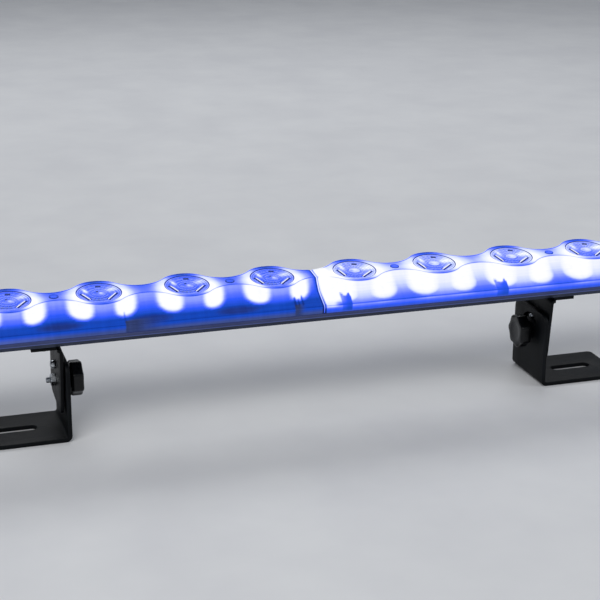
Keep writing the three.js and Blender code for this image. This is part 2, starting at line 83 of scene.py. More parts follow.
def glow(x, y, z):
    """(brightness 0..1, share of grey) of the covers' inner light at points in the bar's axes."""
    x, y, z = (np.asarray(a, float) for a in (x, y, z))
    u = np.abs(np.mod(x, P) - P / 2)                   # from the nearest lens
    de = np.abs(np.mod(x, P / 2) - P / 4)              # from the nearest edge emitter
    right = x > 0
    neckness = step(8, 36, u)
    ay = np.abs(y)
    w = ribbon(x)
    # wall and skirt
    bl = np.interp(z, [59.5, 60.2, 62.5, 65.6, 66.4, 67.0, 68.2, 71, 74, 77, 80, 83, 85],
                   [0.17, 0.21, 0.21, 0.21, 0.20, 0.17, 0.19, 0.18, 0.34, 0.47, 0.58, 0.64, 0.66])
    bl = bl - 0.04 * neckness * step(70, 78, z) + 0.10 * step(-225, -330, x) * step(66.5, 62, z)
    zr = [59.5, 60.3, 62.5, 65.6, 66.9, 68.0, 71.0, 74.0, 77.0, 80.0, 83.0, 85.0]
    br_l = np.interp(z, zr, [0.05, 0.09, 0.37, 0.57, 0.49, 0.55, 0.74, 0.83, 0.90, 0.92, 0.93, 0.93])
    br_n = np.interp(z, zr, [0.05, 0.08, 0.35, 0.50, 0.38, 0.38, 0.59, 0.76, 0.85, 0.91, 0.93, 0.93])
    br = br_l * (1 - neckness) + br_n * neckness
    br = br + 0.12 * gauss(z - 65.7, 0.7) * gauss(de, 11)
    base = np.where(right, br, bl)
    # the bright flame above each edge emitter, round at its foot and wide at the ribbon
    zf = np.where(right, 69.4, 73.0)
    hw = np.where(right, 15.0, 10.0)
    up = np.clip((z - zf) / (84 - zf), 0, 1)
    foot = np.where(right, 4.6, 3.8)
    w0 = hw * np.sqrt(1 - (1 - foot / (84 - zf)) ** 3.6)
    d = np.where(z >= zf + foot, de - hw * np.sqrt(1 - (1 - up) ** 3.6),
                 (np.hypot(de / w0, (zf + foot - z) / foot) - 1) * w0)
    d = np.where(d > 0, d / (0.65 + 0.85 * up), d)
    flame = np.where(right, np.interp(d, [-6.0, -3.0, -0.5, 2.0, 5.0, 9.0], [1.0, 0.975, 0.93, 0.82, 0.62, 0.3]),
                     np.interp(d, [-2.0, -0.5, 1.0, 3.0, 5.0, 9.0], [1.0, 0.92, 0.74, 0.56, 0.44, 0.0]))
    wall = np.maximum(base, flame)
    # ribbon face: brighter towards the front edge
    yf = step(-0.3, 0.75, y / w)
    rl = (0.38 + 0.06 * neckness) * (1 - yf) + (0.22 + 0.12 * neckness) * yf + 0.64 * gauss(de, 11.2) * (1 - 0.12 * yf)
    rr = (0.52 + 0.15 * neckness) * (1 - yf) + (0.27 + 0.28 * neckness) * yf + 0.44 * gauss(de, 11.5)
    face = np.where(right, rr, rl)
    on_face = step(0.2, -0.3, ay - w) * step(84.0, 84.4, z)
    t = wall * (1 - on_face) + face * on_face
    # fine dark line inside the ribbon's edge and the fine line along the flange
    t = np.minimum(t, 1.0)
    t = t - (0.10 + 0.36 * t) * gauss(ay - (w - 1.30), 0.55) * step(84.2, 84.5, z)
    t = t - np.where(right, 0.20, 0.05) * gauss(z - 66.95, 0.28) * (z < 70)
    grey_share = np.where(right, 0.45 * step(62.3, 60.0, z), step(65.8, 60.6, z))
    # shadows of the board clips low on the left cover
    for k in range(1, 6):
        q = ((x + k * P) / 23.0) ** 2 + ((z - 69.3) / 2.1) ** 2
        m = np.where(x < 0, np.clip(1.1 - q, 0, 0.85), 0) * (z < 74)
        t = t * (1 - m) + 0.09 * m
        grey_share = np.maximum(grey_share, 0.42 * m * step(71.6, 69.6, z))
    # board joints: a sharp-sided shadow towards the middle of the bar
    for c, length in ((28.5, 11.0), (191.0, 45.0), (360.0, 40.0)):
        inside = c + x                                   # left cover: >0 towards the middle
        band = (inside > 0) & (inside < length)
        m = np.where((x < 0) & band & (z < 69.6), 1 - step(0.15 * length, length, inside), 0)
        t = t * (1 - m) + 0.14 * m
        grey_share = np.maximum(grey_share, m)
        near = (x < 0) & (z < 76)
        tall = 1.0 if c < 30 else 0.45
        spike = gauss(inside - 0.7, 0.9) * step(75.9, 74.0, z)
        if c < 30:
            spike = np.maximum(spike, 0.8 * gauss(inside - 4.2, 0.8) * step(73.6, 72.0, z))
            spike = np.maximum(spike, gauss(inside - 8.6, 0.9) * step(75.2, 73.2, z))
        t = t * (1 - 0.72 * tall * spike * near * step(68.0, 69.5, z))
    for c, length, low in ((27.5, 10.0, 0.3), (190.5, 12.5, 1.3)):
        inside = c - x                                   # right cover: two ragged peaks
        top = np.interp(inside, [0.0, 1.2, 2.6, 5.0, length - 3.5, length - 1.6, length], [72.0, 75.4, 73.2, 72.2, 72.8, 74.8, 70.5]) - low
        m = np.where((x > 0) & (inside > 0) & (inside < length), step(0.8, -0.5, z - top), 0)
        m = m * (0.92 - 0.40 * step(0.25 * length, length, inside)) * step(59.8, 61.6, z)
        t = t * (1 - m) + np.interp(z, [60, 66, 76], [0.18, 0.24, 0.36]) * m
    # next to the seam
    near = step(6.5, 1.6, np.abs(x))
    t = np.where(x < 0, t * (1 - near) + np.minimum(t, 0.30) * near, t)
    t = np.where(x > 0, t + 0.50 * step(17.5, 9, x) * step(63.5, 68, z), t)
    t = t - 0.5 * step(1.55, 1.1, np.abs(x))
    # the rim of each lens hole: painted shade in the narrow gap round the optic
    r = np.hypot(u, y)
    t = np.where((r < HOLE_R + 0.30) & (ay < w) & (z < 84.95), 0.05, t)
    return np.clip(t, 0.0, 1.0), np.clip(grey_share, 0, 1)


# ------------------------------------------------------------------ node material helpers
def lin(c):
    return tuple(((v / 255) / 12.92 if v / 255 <= 0.04045 else ((v / 255 + 0.055) / 1.055) ** 2.4) for v in c)


RAMP = [(0.0, (0, 8, 40)), (0.10, (8, 45, 140)), (0.20, (12, 68, 185)), (0.35, (45, 88, 250)),
        (0.50, (95, 118, 255)), (0.65, (150, 165, 253)), (0.80, (210, 220, 253)), (1.0, (255, 255, 255))]


class Mat:
    def __init__(self, name):
        self.m = bpy.data.materials.new(name)
        self.m.use_nodes = True
        self.nt = self.m.node_tree
        self.nt.nodes.clear()
        self.out = self.nt.nodes.new("ShaderNodeOutputMaterial")
        self.b = self.nt.nodes.new("ShaderNodeBsdfPrincipled")
        self.link(self.b.outputs[0], self.out.inputs[0])
        self._local = None

    def link(self, a, b):
        self.nt.links.new(a, b)

    def node(self, kind, **props):
        n = self.nt.nodes.new(kind)
        for k, v in props.items():
            setattr(n, k, v)
        return n

    def set(self, **values):
        for k, v in values.items():
            self.b.inputs[k.replace("_", " ")].default_value = v
        return self

    def coords(self, local=True):
        """Object coordinates, in millimetres, in the bar's axes when local."""
        if self._local is None:
            tc = self.node("ShaderNodeTexCoord")
            sub = self.node("ShaderNodeVectorMath", operation="SUBTRACT")
            sub.inputs[1].default_value = (0, YS, 0.05)
            self.link(tc.outputs["Object"], sub.inputs[0])
            rot = self.node("ShaderNodeVectorRotate", rotation_type="X_AXIS")
            rot.inputs["Angle"].default_value = -TILT if local else 0.0
            self.link(sub.outputs[0], rot.inputs[0])
            sc = self.node("ShaderNodeVectorMath", operation="SCALE")
            sc.inputs["Scale"].default_value = 1000.0
            self.link(rot.outputs[0], sc.inputs[0])
            self._local = sc.outputs[0]
        return self._local

    def stretched(self, sx, sy, sz, local=True):
        m = self.node("ShaderNodeVectorMath", operation="MULTIPLY")
        m.inputs[1].default_value = (sx, sy, sz)
        self.link(self.coords(local), m.inputs[0])
        return m.outputs[0]

    def noise(self, scale, detail=3.0, rough=0.55, vec=None, local=True):
        n = self.node("ShaderNodeTexNoise")
        n.inputs["Scale"].default_value = scale
        n.inputs["Detail"].default_value = detail
        n.inputs["Roughness"].default_value = rough
        self.link(vec if vec is not None else self.coords(local), n.inputs["Vector"])
        return n.outputs[0]

    def voronoi(self, scale, vec=None, feature="F1", local=True):
        n = self.node("ShaderNodeTexVoronoi", feature=feature)
        n.inputs["Scale"].default_value = scale
        self.link(vec if vec is not None else self.coords(local), n.inputs["Vector"])
        return n.outputs["Distance"]

    def remap(self, value, a, b, c, d):
        n = self.node("ShaderNodeMapRange")
        for i, v in zip((1, 2, 3, 4), (a, b, c, d)):
            n.inputs[i].default_value = v
        self.link(value, n.inputs[0])
        return n.outputs[0]

    def math(self, op, a, b=None, clamp=False):
        n = self.node("ShaderNodeMath", operation=op, use_clamp=clamp)
        for i, v in enumerate((a, b)):
            if v is None:
                continue
            if isinstance(v, (int, float)):
                n.inputs[i].default_value = v
            else:
                self.link(v, n.inputs[i])
        return n.outputs[0]

    def ramp(self, value, stops, linear=False):
        n = self.node("ShaderNodeValToRGB")
        e = n.color_ramp.elements
        while len(e) > 1:
            e.remove(e[-1])
        for i, (p, c) in enumerate(stops):
            el = e[0] if i == 0 else e.new(p)
            el.position = p
            col = c if linear else lin(c)
            el.color = (col[0], col[1], col[2], 1)
        self.link(value, n.inputs[0])
        return n.outputs[0]

    def mix(self, fac, a, b):
        n = self.node("ShaderNodeMix", data_type="RGBA")
        for i, v in ((0, fac), (6, a), (7, b)):
            if isinstance(v, (int, float)):
                n.inputs[i].default_value = v
            elif isinstance(v, tuple):
                n.inputs[i].default_value = (v[0], v[1], v[2], 1)
            else:
                self.link(v, n.inputs[i])
        return n.outputs[2]

    def bump(self, height, strength=0.3, distance=0.0002, normal=None):
        n = self.node("ShaderNodeBump")
        n.inputs["Strength"].default_value = strength
        n.inputs["Distance"].default_value = distance
        self.link(height, n.inputs["Height"])
        if normal is not None:
            self.link(normal, n.inputs["Normal"])
        self.link(n.outputs[0], self.b.inputs["Normal"])
        return n.outputs[0]

    def attr(self, name):
        n = self.node("ShaderNodeAttribute", attribute_type="GEOMETRY", attribute_name=name)
        return n.outputs["Fac"]

    def outer_edge_mask(self):
        """1 on outer edges, from the surface's pointiness."""
        g = self.node("ShaderNodeNewGeometry")
        return self.remap(g.outputs["Pointiness"], 0.52, 0.60, 0.0, 1.0)


def glow_material(name, rough=0.34, base=(0.004, 0.008, 0.03), strength=1.0, streak=0.012, coat=0.0, grain=0.5, specular=0.05):
    m = Mat(name)
    t = m.attr("glow")
    # light haze of the frosting: soft streaks across and along the wall, and a fine grain
    haze = m.noise(1.0, 2.0, 0.5, m.stretched(0.22, 0.02, 0.03))
    along = m.noise(1.0, 2.0, 0.5, m.stretched(0.012, 0.35, 0.8))
    fine = m.noise(2.4, 3.0, 0.6)
    t = m.math("ADD", t, m.remap(haze, 0.3, 0.7, -streak, streak))
    t = m.math("ADD", t, m.remap(along, 0.3, 0.7, -1.3 * streak, 1.3 * streak))
    t = m.math("ADD", t, m.remap(fine, 0.3, 0.7, -0.012, 0.012), clamp=True)
    col = m.ramp(t, RAMP)
    grey_share = m.attr("grey_share")
    grey = m.ramp(t, [(0.0, (12, 18, 40)), (0.12, (40, 50, 88)), (0.22, (62, 78, 136)), (0.5, (100, 125, 235)), (1.0, (240, 244, 255))])
    col = m.mix(grey_share, col, grey)
    m.link(col, m.b.inputs["Emission Color"])
    m.set(Emission_Strength=strength)
    basecol = m.mix(m.remap(fine, 0.35, 0.65, 0.0, 1.0), base, tuple(v * 1.35 for v in base))
    m.link(basecol, m.b.inputs["Base Color"])
    m.link(m.remap(m.noise(0.35, 3.0), 0.3, 0.7, rough - 0.05, rough + 0.07), m.b.inputs["Roughness"])
    m.set(Coat_Weight=coat, Coat_Roughness=0.22, Specular_IOR_Level=specular)
    m.bump(m.noise(3.2, 2.0), 0.12 * grain, 0.00008)
    return m.m


def black_coat():
    m = Mat("black_powder_coat")
    fine = m.noise(2.6, 4.0, 0.65, local=False)
    pebble = m.voronoi(1.5, local=False)
    broad = m.noise(0.05, 3.0, local=False)
    c = m.ramp(broad, [(0.3, (4, 6, 8)), (0.55, (6, 9, 12)), (0.75, (9, 12, 16))])
    # outer edges lighter
    c = m.mix(m.math("MULTIPLY", m.outer_edge_mask(), 0.25), c, lin((34, 38, 44)))
    m.link(c, m.b.inputs["Base Color"])
    m.link(m.remap(fine, 0.3, 0.7, 0.42, 0.60), m.b.inputs["Roughness"])
    m.set(Metallic=0.0, Specular_IOR_Level=0.13)
    h = m.math("ADD", m.math("MULTIPLY", pebble, 0.6), m.math("MULTIPLY", fine, 0.5))
    m.bump(h, 0.35, 0.00012)
    return m.m


def black_plastic(name, tone=1.0, rough=0.5, local=True, specular=0.3):
    m = Mat(name)
    fine = m.noise(4.5, 3.0, 0.6, local=local)
    broad = m.noise(0.12, 2.0, local=local)
    c = m.ramp(broad, [(0.3, tuple(v * tone for v in (5, 6, 8))), (0.7, tuple(v * tone for v in (10, 12, 15)))])
    # outer edges lighter
    c = m.mix(m.math("MULTIPLY", m.outer_edge_mask(), 0.25), c, lin(tuple(v * tone for v in (34, 38, 44))))
    m.link(c, m.b.inputs["Base Color"])
    m.link(m.remap(fine, 0.3, 0.7, rough - 0.08, rough + 0.08), m.b.inputs["Roughness"])
    m.set(Specular_IOR_Level=specular)
    m.bump(m.math("ADD", fine, m.math("MULTIPLY", m.voronoi(2.2, local=local), 0.5)), 0.22, 0.0001)
    return m.m


def zinc():
    m = Mat("zinc_plate")
    broad = m.noise(0.25, 4.0, 0.6, local=False)
    fine = m.noise(5.0, 3.0, 0.7, m.stretched(0.3, 2.0, 2.0, local=False))
    c = m.ramp(broad, [(0.25, (150, 155, 160)), (0.5, (186, 191, 197)), (0.75, (205, 206, 203))])
    m.link(c, m.b.inputs["Base Color"])
    m.link(m.remap(fine, 0.25, 0.75, 0.20, 0.38), m.b.inputs["Roughness"])
    m.set(Metallic=1.0)
    m.bump(fine, 0.15, 0.00005)
    return m.m


def anodised():
    """Satin extrusion: fine lines along the bar, cloudy tone; painted glow of the covers' blue light on the sides near
    the skirt, and a painted highlight along the lower edge of the sides.
    """
    m = Mat("anodised_housing")
    lines = m.noise(1.0, 3.0, 0.7, m.stretched(0.012, 7.0, 7.0))
    cloud = m.noise(0.06, 3.0)
    c = m.ramp(cloud, [(0.3, (48, 54, 72)), (0.7, (66, 72, 90))])
    c = m.mix(m.remap(lines, 0.35, 0.65, 0.0, 0.35), c, lin((92, 98, 118)))
    m.link(c, m.b.inputs["Base Color"])
    m.link(m.remap(lines, 0.3, 0.7, 0.34, 0.50), m.b.inputs["Roughness"])
    sep = m.node("ShaderNodeSeparateXYZ")
    m.link(m.coords(), sep.inputs[0])
    ay = m.math("ABSOLUTE", sep.outputs[1])
    side = m.remap(ay, 33.0, 37.4, 0.0, 1.0)
    # painted glow: the covers' blue light laid on the sides as emission
    painted_spill_glow = m.math("MULTIPLY", m.remap(sep.outputs[2], 54.5, 60.5, 0.15, 1.0), side)
    em = m.mix(painted_spill_glow, (0.0, 0.0, 0.0), lin((36, 44, 96)))
    # painted highlight: a bright emissive line along the lower edge of the sides
    painted_edge_highlight = m.remap(m.math("ABSOLUTE", m.math("SUBTRACT", sep.outputs[2], 55.9)), 0.0, 0.55, 1.0, 0.0)
    em = m.mix(m.math("MULTIPLY", painted_edge_highlight, side), em, lin((64, 78, 140)))
    m.link(em, m.b.inputs["Emission Color"])
    m.set(Metallic=0.75, Emission_Strength=0.9)
    m.bump(lines, 0.2, 0.00006)
    return m.m


def board_mat(name, a, b):
    m = Mat(name)
    n = m.noise(0.5, 3.0)
    m.link(m.ramp(n, [(0.35, a), (0.65, b)]), m.b.inputs["Base Color"])
    m.link(m.remap(m.noise(2.0, 2.0), 0.3, 0.7, 0.4, 0.55), m.b.inputs["Roughness"])
    m.bump(m.voronoi(0.8), 0.1, 0.0001)
    return m.m


def window_mat():
    m = Mat("display_red")
    n = m.noise(0.8, 2.0)
    m.link(m.ramp(n, [(0.3, (28, 5, 6)), (0.7, (44, 8, 9))]), m.b.inputs["Base Color"])
    m.link(m.remap(n, 0.3, 0.7, 0.05, 0.10), m.b.inputs["Roughness"])
    m.set(Coat_Weight=0.6, Coat_Roughness=0.04)
    m.bump(m.noise(0.15, 1.0), 0.05, 0.0001)
    return m.m


def rubber():
    m = Mat("key_rubber")
    fine = m.noise(5.0, 3.0)
    m.link(m.ramp(m.noise(0.5, 2.0), [(0.3, (52, 54, 58)), (0.7, (66, 68, 73))]), m.b.inputs["Base Color"])
    m.link(m.remap(fine, 0.3, 0.7, 0.58, 0.72), m.b.inputs["Roughness"])
    m.bump(fine, 0.15, 0.00008)
    return m.m


COVER = glow_material("frosted_cover_glow")
LENS = glow_material("lens_glow", rough=0.16, base=(0.006, 0.010, 0.035), streak=0.02, coat=0.08, grain=0.2, specular=0.12)
CAPM = glow_material("cap_glow", rough=0.30, base=(0.005, 0.009, 0.032), streak=0.01, coat=0.0, specular=0.05)
COAT = black_coat()
ZINC = zinc()
ALU = anodised()
KNOB = black_plastic("knob_plastic", 0.8, 0.26, local=False, specular=0.30)
CAPP = black_plastic("cap_plastic", 1.2, 0.52)
SOCKP = black_plastic("socket_plastic", 0.9, 0.36)
PANELP = black_plastic("panel_plastic", 1.25, 0.45)
BRASS = Mat("contact_brass")
BRASS.link(BRASS.ramp(BRASS.noise(0.8, 3.0), [(0.3, (150, 120, 60)), (0.7, (190, 160, 90))]), BRASS.b.inputs["Base Color"])
BRASS.link(BRASS.remap(BRASS.noise(3.0, 2.0), 0.3, 0.7, 0.25, 0.4), BRASS.b.inputs["Roughness"])
BRASS.set(Metallic=1.0)
BRASS = BRASS.m


# ------------------------------------------------------------------ mesh helpers
def mesh_object(name, verts, faces, frame_matrix, mats, body=None, sharp=32, attrs=None, face_mats=None):
    me = bpy.data.meshes.new(name)
    me.from_pydata([tuple(v) for v in verts], [], [tuple(f) for f in faces])
    me.update()
    o = bpy.data.objects.new(name, me)
    bpy.context.scene.collection.objects.link(o)
    for m in mats:
        me.materials.append(m)
    if face_mats is not None:
        for p, k in zip(me.polygons, face_mats):
            p.material_index = k
    if sum(p.area for p in me.polygons) > 0:
        import bmesh
        bm = bmesh.new(); bm.from_mesh(me)
        bmesh.ops.recalc_face_normals(bm, faces=bm.faces)
        bm.to_mesh(me); bm.free()
    me["mm_frame"] = 1
    me.transform(frame_matrix)
    smooth(o, sharp)
    if attrs:
        paint(o, frame_matrix, attrs)
    if body:
        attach(o, body)
    return o


def smooth(o, angle):
    me = o.data
    me.polygons.foreach_set("use_smooth", [True] * len(me.polygons))
    me.set_sharp_from_angle(angle=math.radians(angle))


def paint(o, frame_matrix, fn):
    """Stores the glow field on the mesh, one value for each vertex."""
    me = o.data
    co = np.zeros(len(me.vertices) * 3)
    me.vertices.foreach_get("co", co)
    co = co.reshape(-1, 3)
    inv = np.array(frame_matrix.inverted())
    l = co @ inv[:3, :3].T + inv[:3, 3]
    t, grey_share = fn(l[:, 0], l[:, 1], l[:, 2])
    for name, v in (("glow", t), ("grey_share", grey_share)):
        a = me.attributes.get(name) or me.attributes.new(name, "FLOAT", "POINT")
        a.data.foreach_set("value", np.asarray(v, np.float32))


def baked(o):
    """Applies o's modifiers."""
    dg = bpy.context.evaluated_depsgraph_get()
    me = bpy.data.meshes.new_from_object(o.evaluated_get(dg))
    o.modifiers.clear()
    old = o.data
    o.data = me
    bpy.data.meshes.remove(old)
    me.name = o.name
    return o


def boolean(o, cutter, op="DIFFERENCE"):
    m = o.modifiers.new("cut", "BOOLEAN")
    m.operation, m.solver, m.object = op, "EXACT", cutter
    baked(o)
    me = cutter.data
    bpy.data.objects.remove(cutter)
    bpy.data.meshes.remove(me)
    return o


def bevel(o, width, segments=2, angle=35):
    m = o.modifiers.new("edge", "BEVEL")
    m.width, m.segments, m.limit_method, m.angle_limit = width / 1000, segments, "ANGLE", math.radians(angle)
    m.harden_normals = False
    m.use_clamp_overlap = True
    return o


def rings_faces(nr, n, closed=True, cap0=True, cap1=True):
    f = []
    for i in range(nr - 1):
        for j in range(n if closed else n - 1):
            a, b = i * n + j, i * n + (j + 1) % n
            f.append((a, b, b + n, a + n))
    if cap0:
        f.append(tuple(range(n - 1, -1, -1)))
    if cap1:
        f.append(tuple((nr - 1) * n + j for j in range(n)))
    return f


def lathe(profile, seg=48, axis="Z", centre=(0, 0, 0), flip=1):
    """Closed turned solid: profile of (radius, height); first and last radius may be 0."""
    verts, faces, idx = [], [], []
    for r, h in profile:
        if r < 1e-6:
            idx.append([len(verts)]); verts.append((0, 0, h))
        else:
            idx.append(list(range(len(verts), len(verts) + seg)))
            for k in range(seg):
                a = 2 * math.pi * k / seg
                verts.append((r * math.cos(a), r * math.sin(a), h))
    for A, B in zip(idx[:-1], idx[1:]):
        for k in range(seg):
            k2 = (k + 1) % seg
            if len(A) == 1 and len(B) == 1:
                continue
            if len(A) == 1:
                faces.append((A[0], B[k], B[k2]))
            elif len(B) == 1:
                faces.append((A[k], A[k2], B[0]))
            else:
                faces.append((A[k], A[k2], B[k2], B[k]))
    out = []
    for x, y, z in verts:
        if axis == "Z":
            p = (x, y, z * flip)
        else:
            p = (z * flip, x, y)
        out.append((p[0] + centre[0], p[1] + centre[1], p[2] + centre[2]))
    return out, faces


def joined(parts):
    """[(verts, faces, material index)] as one mesh."""
    V, F, K = [], [], []
    for v, f, k in parts:
        b = len(V)
        V += list(v)
        F += [tuple(i + b for i in q) for q in f]
        K += [k] * len(f)
    return V, F, K


def block(x0, x1, y0, y1, z0, z1, r=0.3):
    """A bar with rounded long edges and ends, as one closed mesh (chamfered on every edge)."""
    xs, ys, zs = sorted((x0, x1)), sorted((y0, y1)), sorted((z0, z1))
    c = [(a + b) / 2 for a, b in (xs, ys, zs)]
    h = [(b - a) / 2 for a, b in (xs, ys, zs)]
    v, f = [], []
    n = 6
    us = np.linspace(-1, 1, n)
    # superellipsoid-like rounding of a cube grid
    import itertools
    index = {}
    def vert(p):
        key = tuple(round(float(q), 5) for q in p)
        if key not in index:
            q = np.array(p, float) * h
            inner = np.array([max(hh - r, 0) for hh in h])
            core = np.clip(q, -inner, inner)
            d = q - core
            l = np.linalg.norm(d)
            if l > 1e-9:
                d = d / l * min(r, l) if l > r else d
            index[key] = len(v)
            v.append(tuple(core + d + np.array(c)))
        return index[key]
    # graded positions so that the rounding has its own rows
    grades = []
    for k in range(3):
        t = max(1 - r / h[k], 0.0)
        grades.append([-1, -1 + 0.35 * (1 - t), -t, 0, t, 1 - 0.35 * (1 - t), 1])
    for k in range(3):
        a, b = [j for j in range(3) if j != k]
        for s in (-1, 1):
            for i in range(len(grades[a]) - 1):
                for j in range(len(grades[b]) - 1):
                    quad = []
                    for di, dj in ((0, 0), (1, 0), (1, 1), (0, 1)):
                        p = [0, 0, 0]
                        p[k] = s; p[a] = grades[a][i + di]; p[b] = grades[b][j + dj]
                        quad.append(vert(p))
                    if len(set(quad)) == 4:
                        f.append(tuple(quad if s > 0 else quad[::-1]))
    return v, f


def moved(part, matrix):
    v, f = part
    return [tuple(matrix @ Vector(p)) for p in v], f


# ------------------------------------------------------------------ covers
def cover_section(w):
    """Outer half outline from the skirt's lower edge up to the middle of the ribbon, as (y, z), y > 0."""
    knee = w + KNEE * (Y_SIDE - w)
    pts = [(35.9, 59.5), (36.9, 59.5), (37.35, 59.68), (37.5, 60.1), (37.5, 61.2), (37.5, 62.4), (37.5, 63.6), (37.5, 64.8),
           (37.5, 65.6), (37.45, 66.25), (37.28, 66.55), (36.75, 66.75), (36.65, 66.95), (36.75, 67.2), (37.0, 67.45)]
    # lower wall, softly hollow, up to the knee and on to the ribbon's shoulder
    a, b, c = np.array((37.0, 67.5)), np.array((knee, KNEE_Z)), np.array((w + 0.42, 84.3))
    for t in np.linspace(0.12, 1, 8):
        p = a + (b - a) * t
        p[0] -= 0.35 * math.sin(math.pi * t) * min(1, (37 - w) / 12)
        pts.append(tuple(p))
    for t in np.linspace(0.08, 1, 13):
        p = b + (c - b) * t
        p[0] -= 0.55 * math.sin(math.pi * min(t * 1.05, 1)) * min(1, (37 - w) / 18)
        pts.append(tuple(p))
    pts += [(w + 0.30, 84.62), (w + 0.05, 84.88), (w - 0.30, 85.0), (w - 0.85, 85.0), (w - 1.12, 84.86), (w - 1.35, 84.55),
            (w - 1.58, 84.86), (w - 1.85, 85.0)]
    e = w - 1.85
    for t in np.linspace(0, 1, 12)[1:]:
        pts.append((e * (1 - t), 85.0))
    return pts


def cover_mesh(x0, x1):
    n = int(round((x1 - x0) / 1.36))
    xs = list(np.linspace(x0, x1, n + 1))
    # extra rows beside the board joints' sharp shadow edges, and a rounded end at the seam
    for c in (27.5, 192.0, 360.0):
        for d in (-0.12, 0.12, 0.9):
            xs.append(math.copysign(c, x0 + x1) - math.copysign(d, x0 + x1))
    xs = sorted(xs)
    verts, nring = [], None
    for x in xs:
        w = float(ribbon(x))
        outer = cover_section(w)
        knee = w + KNEE * (Y_SIDE - w)
        end = min(abs(x - x0), abs(x - x1))
        sh = 0.35 if end < 1e-6 else (0.08 if end < 1.0 else 0.0)
        outer = [(y - sh if y > 5 else y, z - (sh if z > 61 else -sh if z < 60 else 0)) for y, z in outer]
        inner = [(35.5, 59.5 + (sh if sh else 0)), (35.5, 65.4), (knee - 1.2, 72.6), (w - 1.0, 83.0), (max(w - 6, 3), 83.0)]
        loop = [(x, -y, z) for y, z in outer] + [(x, y, z) for y, z in outer[-2::-1]]
        loop += [(x, y, z) for y, z in inner] + [(x, -y, z) for y, z in inner[::-1]]
        verts += loop
        nring = len(loop)
    return verts, rings_faces(len(xs), nring)


def hole_cutter(x, r=HOLE_R):
    return lathe([(0, 76), (r, 76), (r, 84.5), (r + 0.12, 84.82), (r + 0.34, 85.05), (r + 0.34, 87), (0, 87)], 96, centre=(x, 0, 0))


def recess_cutter(x):
    return lathe([(0, 83.9), (4.75, 83.9), (4.9, 84.05), (4.9, 84.7), (5.15, 85.04), (5.15, 86.5), (0, 86.5)], 40, centre=(x, 0, 0))


for side, s in (("left", -1), ("right", 1)):
    x0, x1 = (-COVER_HALF, -1.15) if s < 0 else (1.15, COVER_HALF)
    v, f = cover_mesh(x0, x1)
    o = mesh_object("cover_shell_" + side, v, f, BAR, [COVER], sharp=40)
    cut = [(*hole_cutter(x), 0) for x in LENS_X if x * s > 0] + [(*recess_cutter(x), 0) for x in SCREW_X if x * s > 0]
    cv, cf, _ = joined(cut)
    c = mesh_object("cutter", cv, cf, BAR, [COVER])
    boolean(o, c)
    if not o.data.materials:
        o.data.materials.append(COVER)
    smooth(o, 38)
    paint(o, BAR, glow)
    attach(o, "bar")
    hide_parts("cover_" + side)

# the light that leaks through the joint between the covers, as a thin strip set just below their faces
v, nring = [], None
SX = [-1.0, -0.7, -0.3, 0.0, 0.3, 0.7, 1.0]
for x in SX:
    out = [(y - 0.35 if y > 2 else y, z - 0.35 if z > 61 else z + 0.3) for y, z in cover_section(float(ribbon(0.0)))]
    inn = [(34.9, 59.9), (34.9, 65.0), (float(ribbon(0)) + KNEE * (Y_SIDE - float(ribbon(0))) - 1.5, 72.8), (8.0, 83.2)]
    loop = [(x, -y, z) for y, z in out] + [(x, y, z) for y, z in out[-2::-1]] + [(x, y, z) for y, z in inn] + [(x, -y, z) for y, z in inn[::-1]]
    v += loop
    nring = len(loop)


def seam_glow(x, y, z):
    t = np.interp(z, [59, 64, 68, 75, 85], [0.35, 0.55, 0.75, 0.92, 0.95])
    return np.clip(t - 0.6 * step(0.25, 0.85, np.abs(x)), 0, 1), np.zeros_like(x)


seam = mesh_object("cover_joint_strip", v, rings_faces(len(SX), nring), BAR, [COVER], "bar", 40, seam_glow)


# ------------------------------------------------------------------ lenses
SLOTS = ((83, 15.4, 5.2), (202, 15.2, 16.0), (323, 15.0, 17.0))      # angle, radius and length of the holder bars
TURN = [0, 0, 0, 0, -3, -6, -11, -12, -14, -14, -14, -14]            # how far each optic is turned in its seat (degrees)


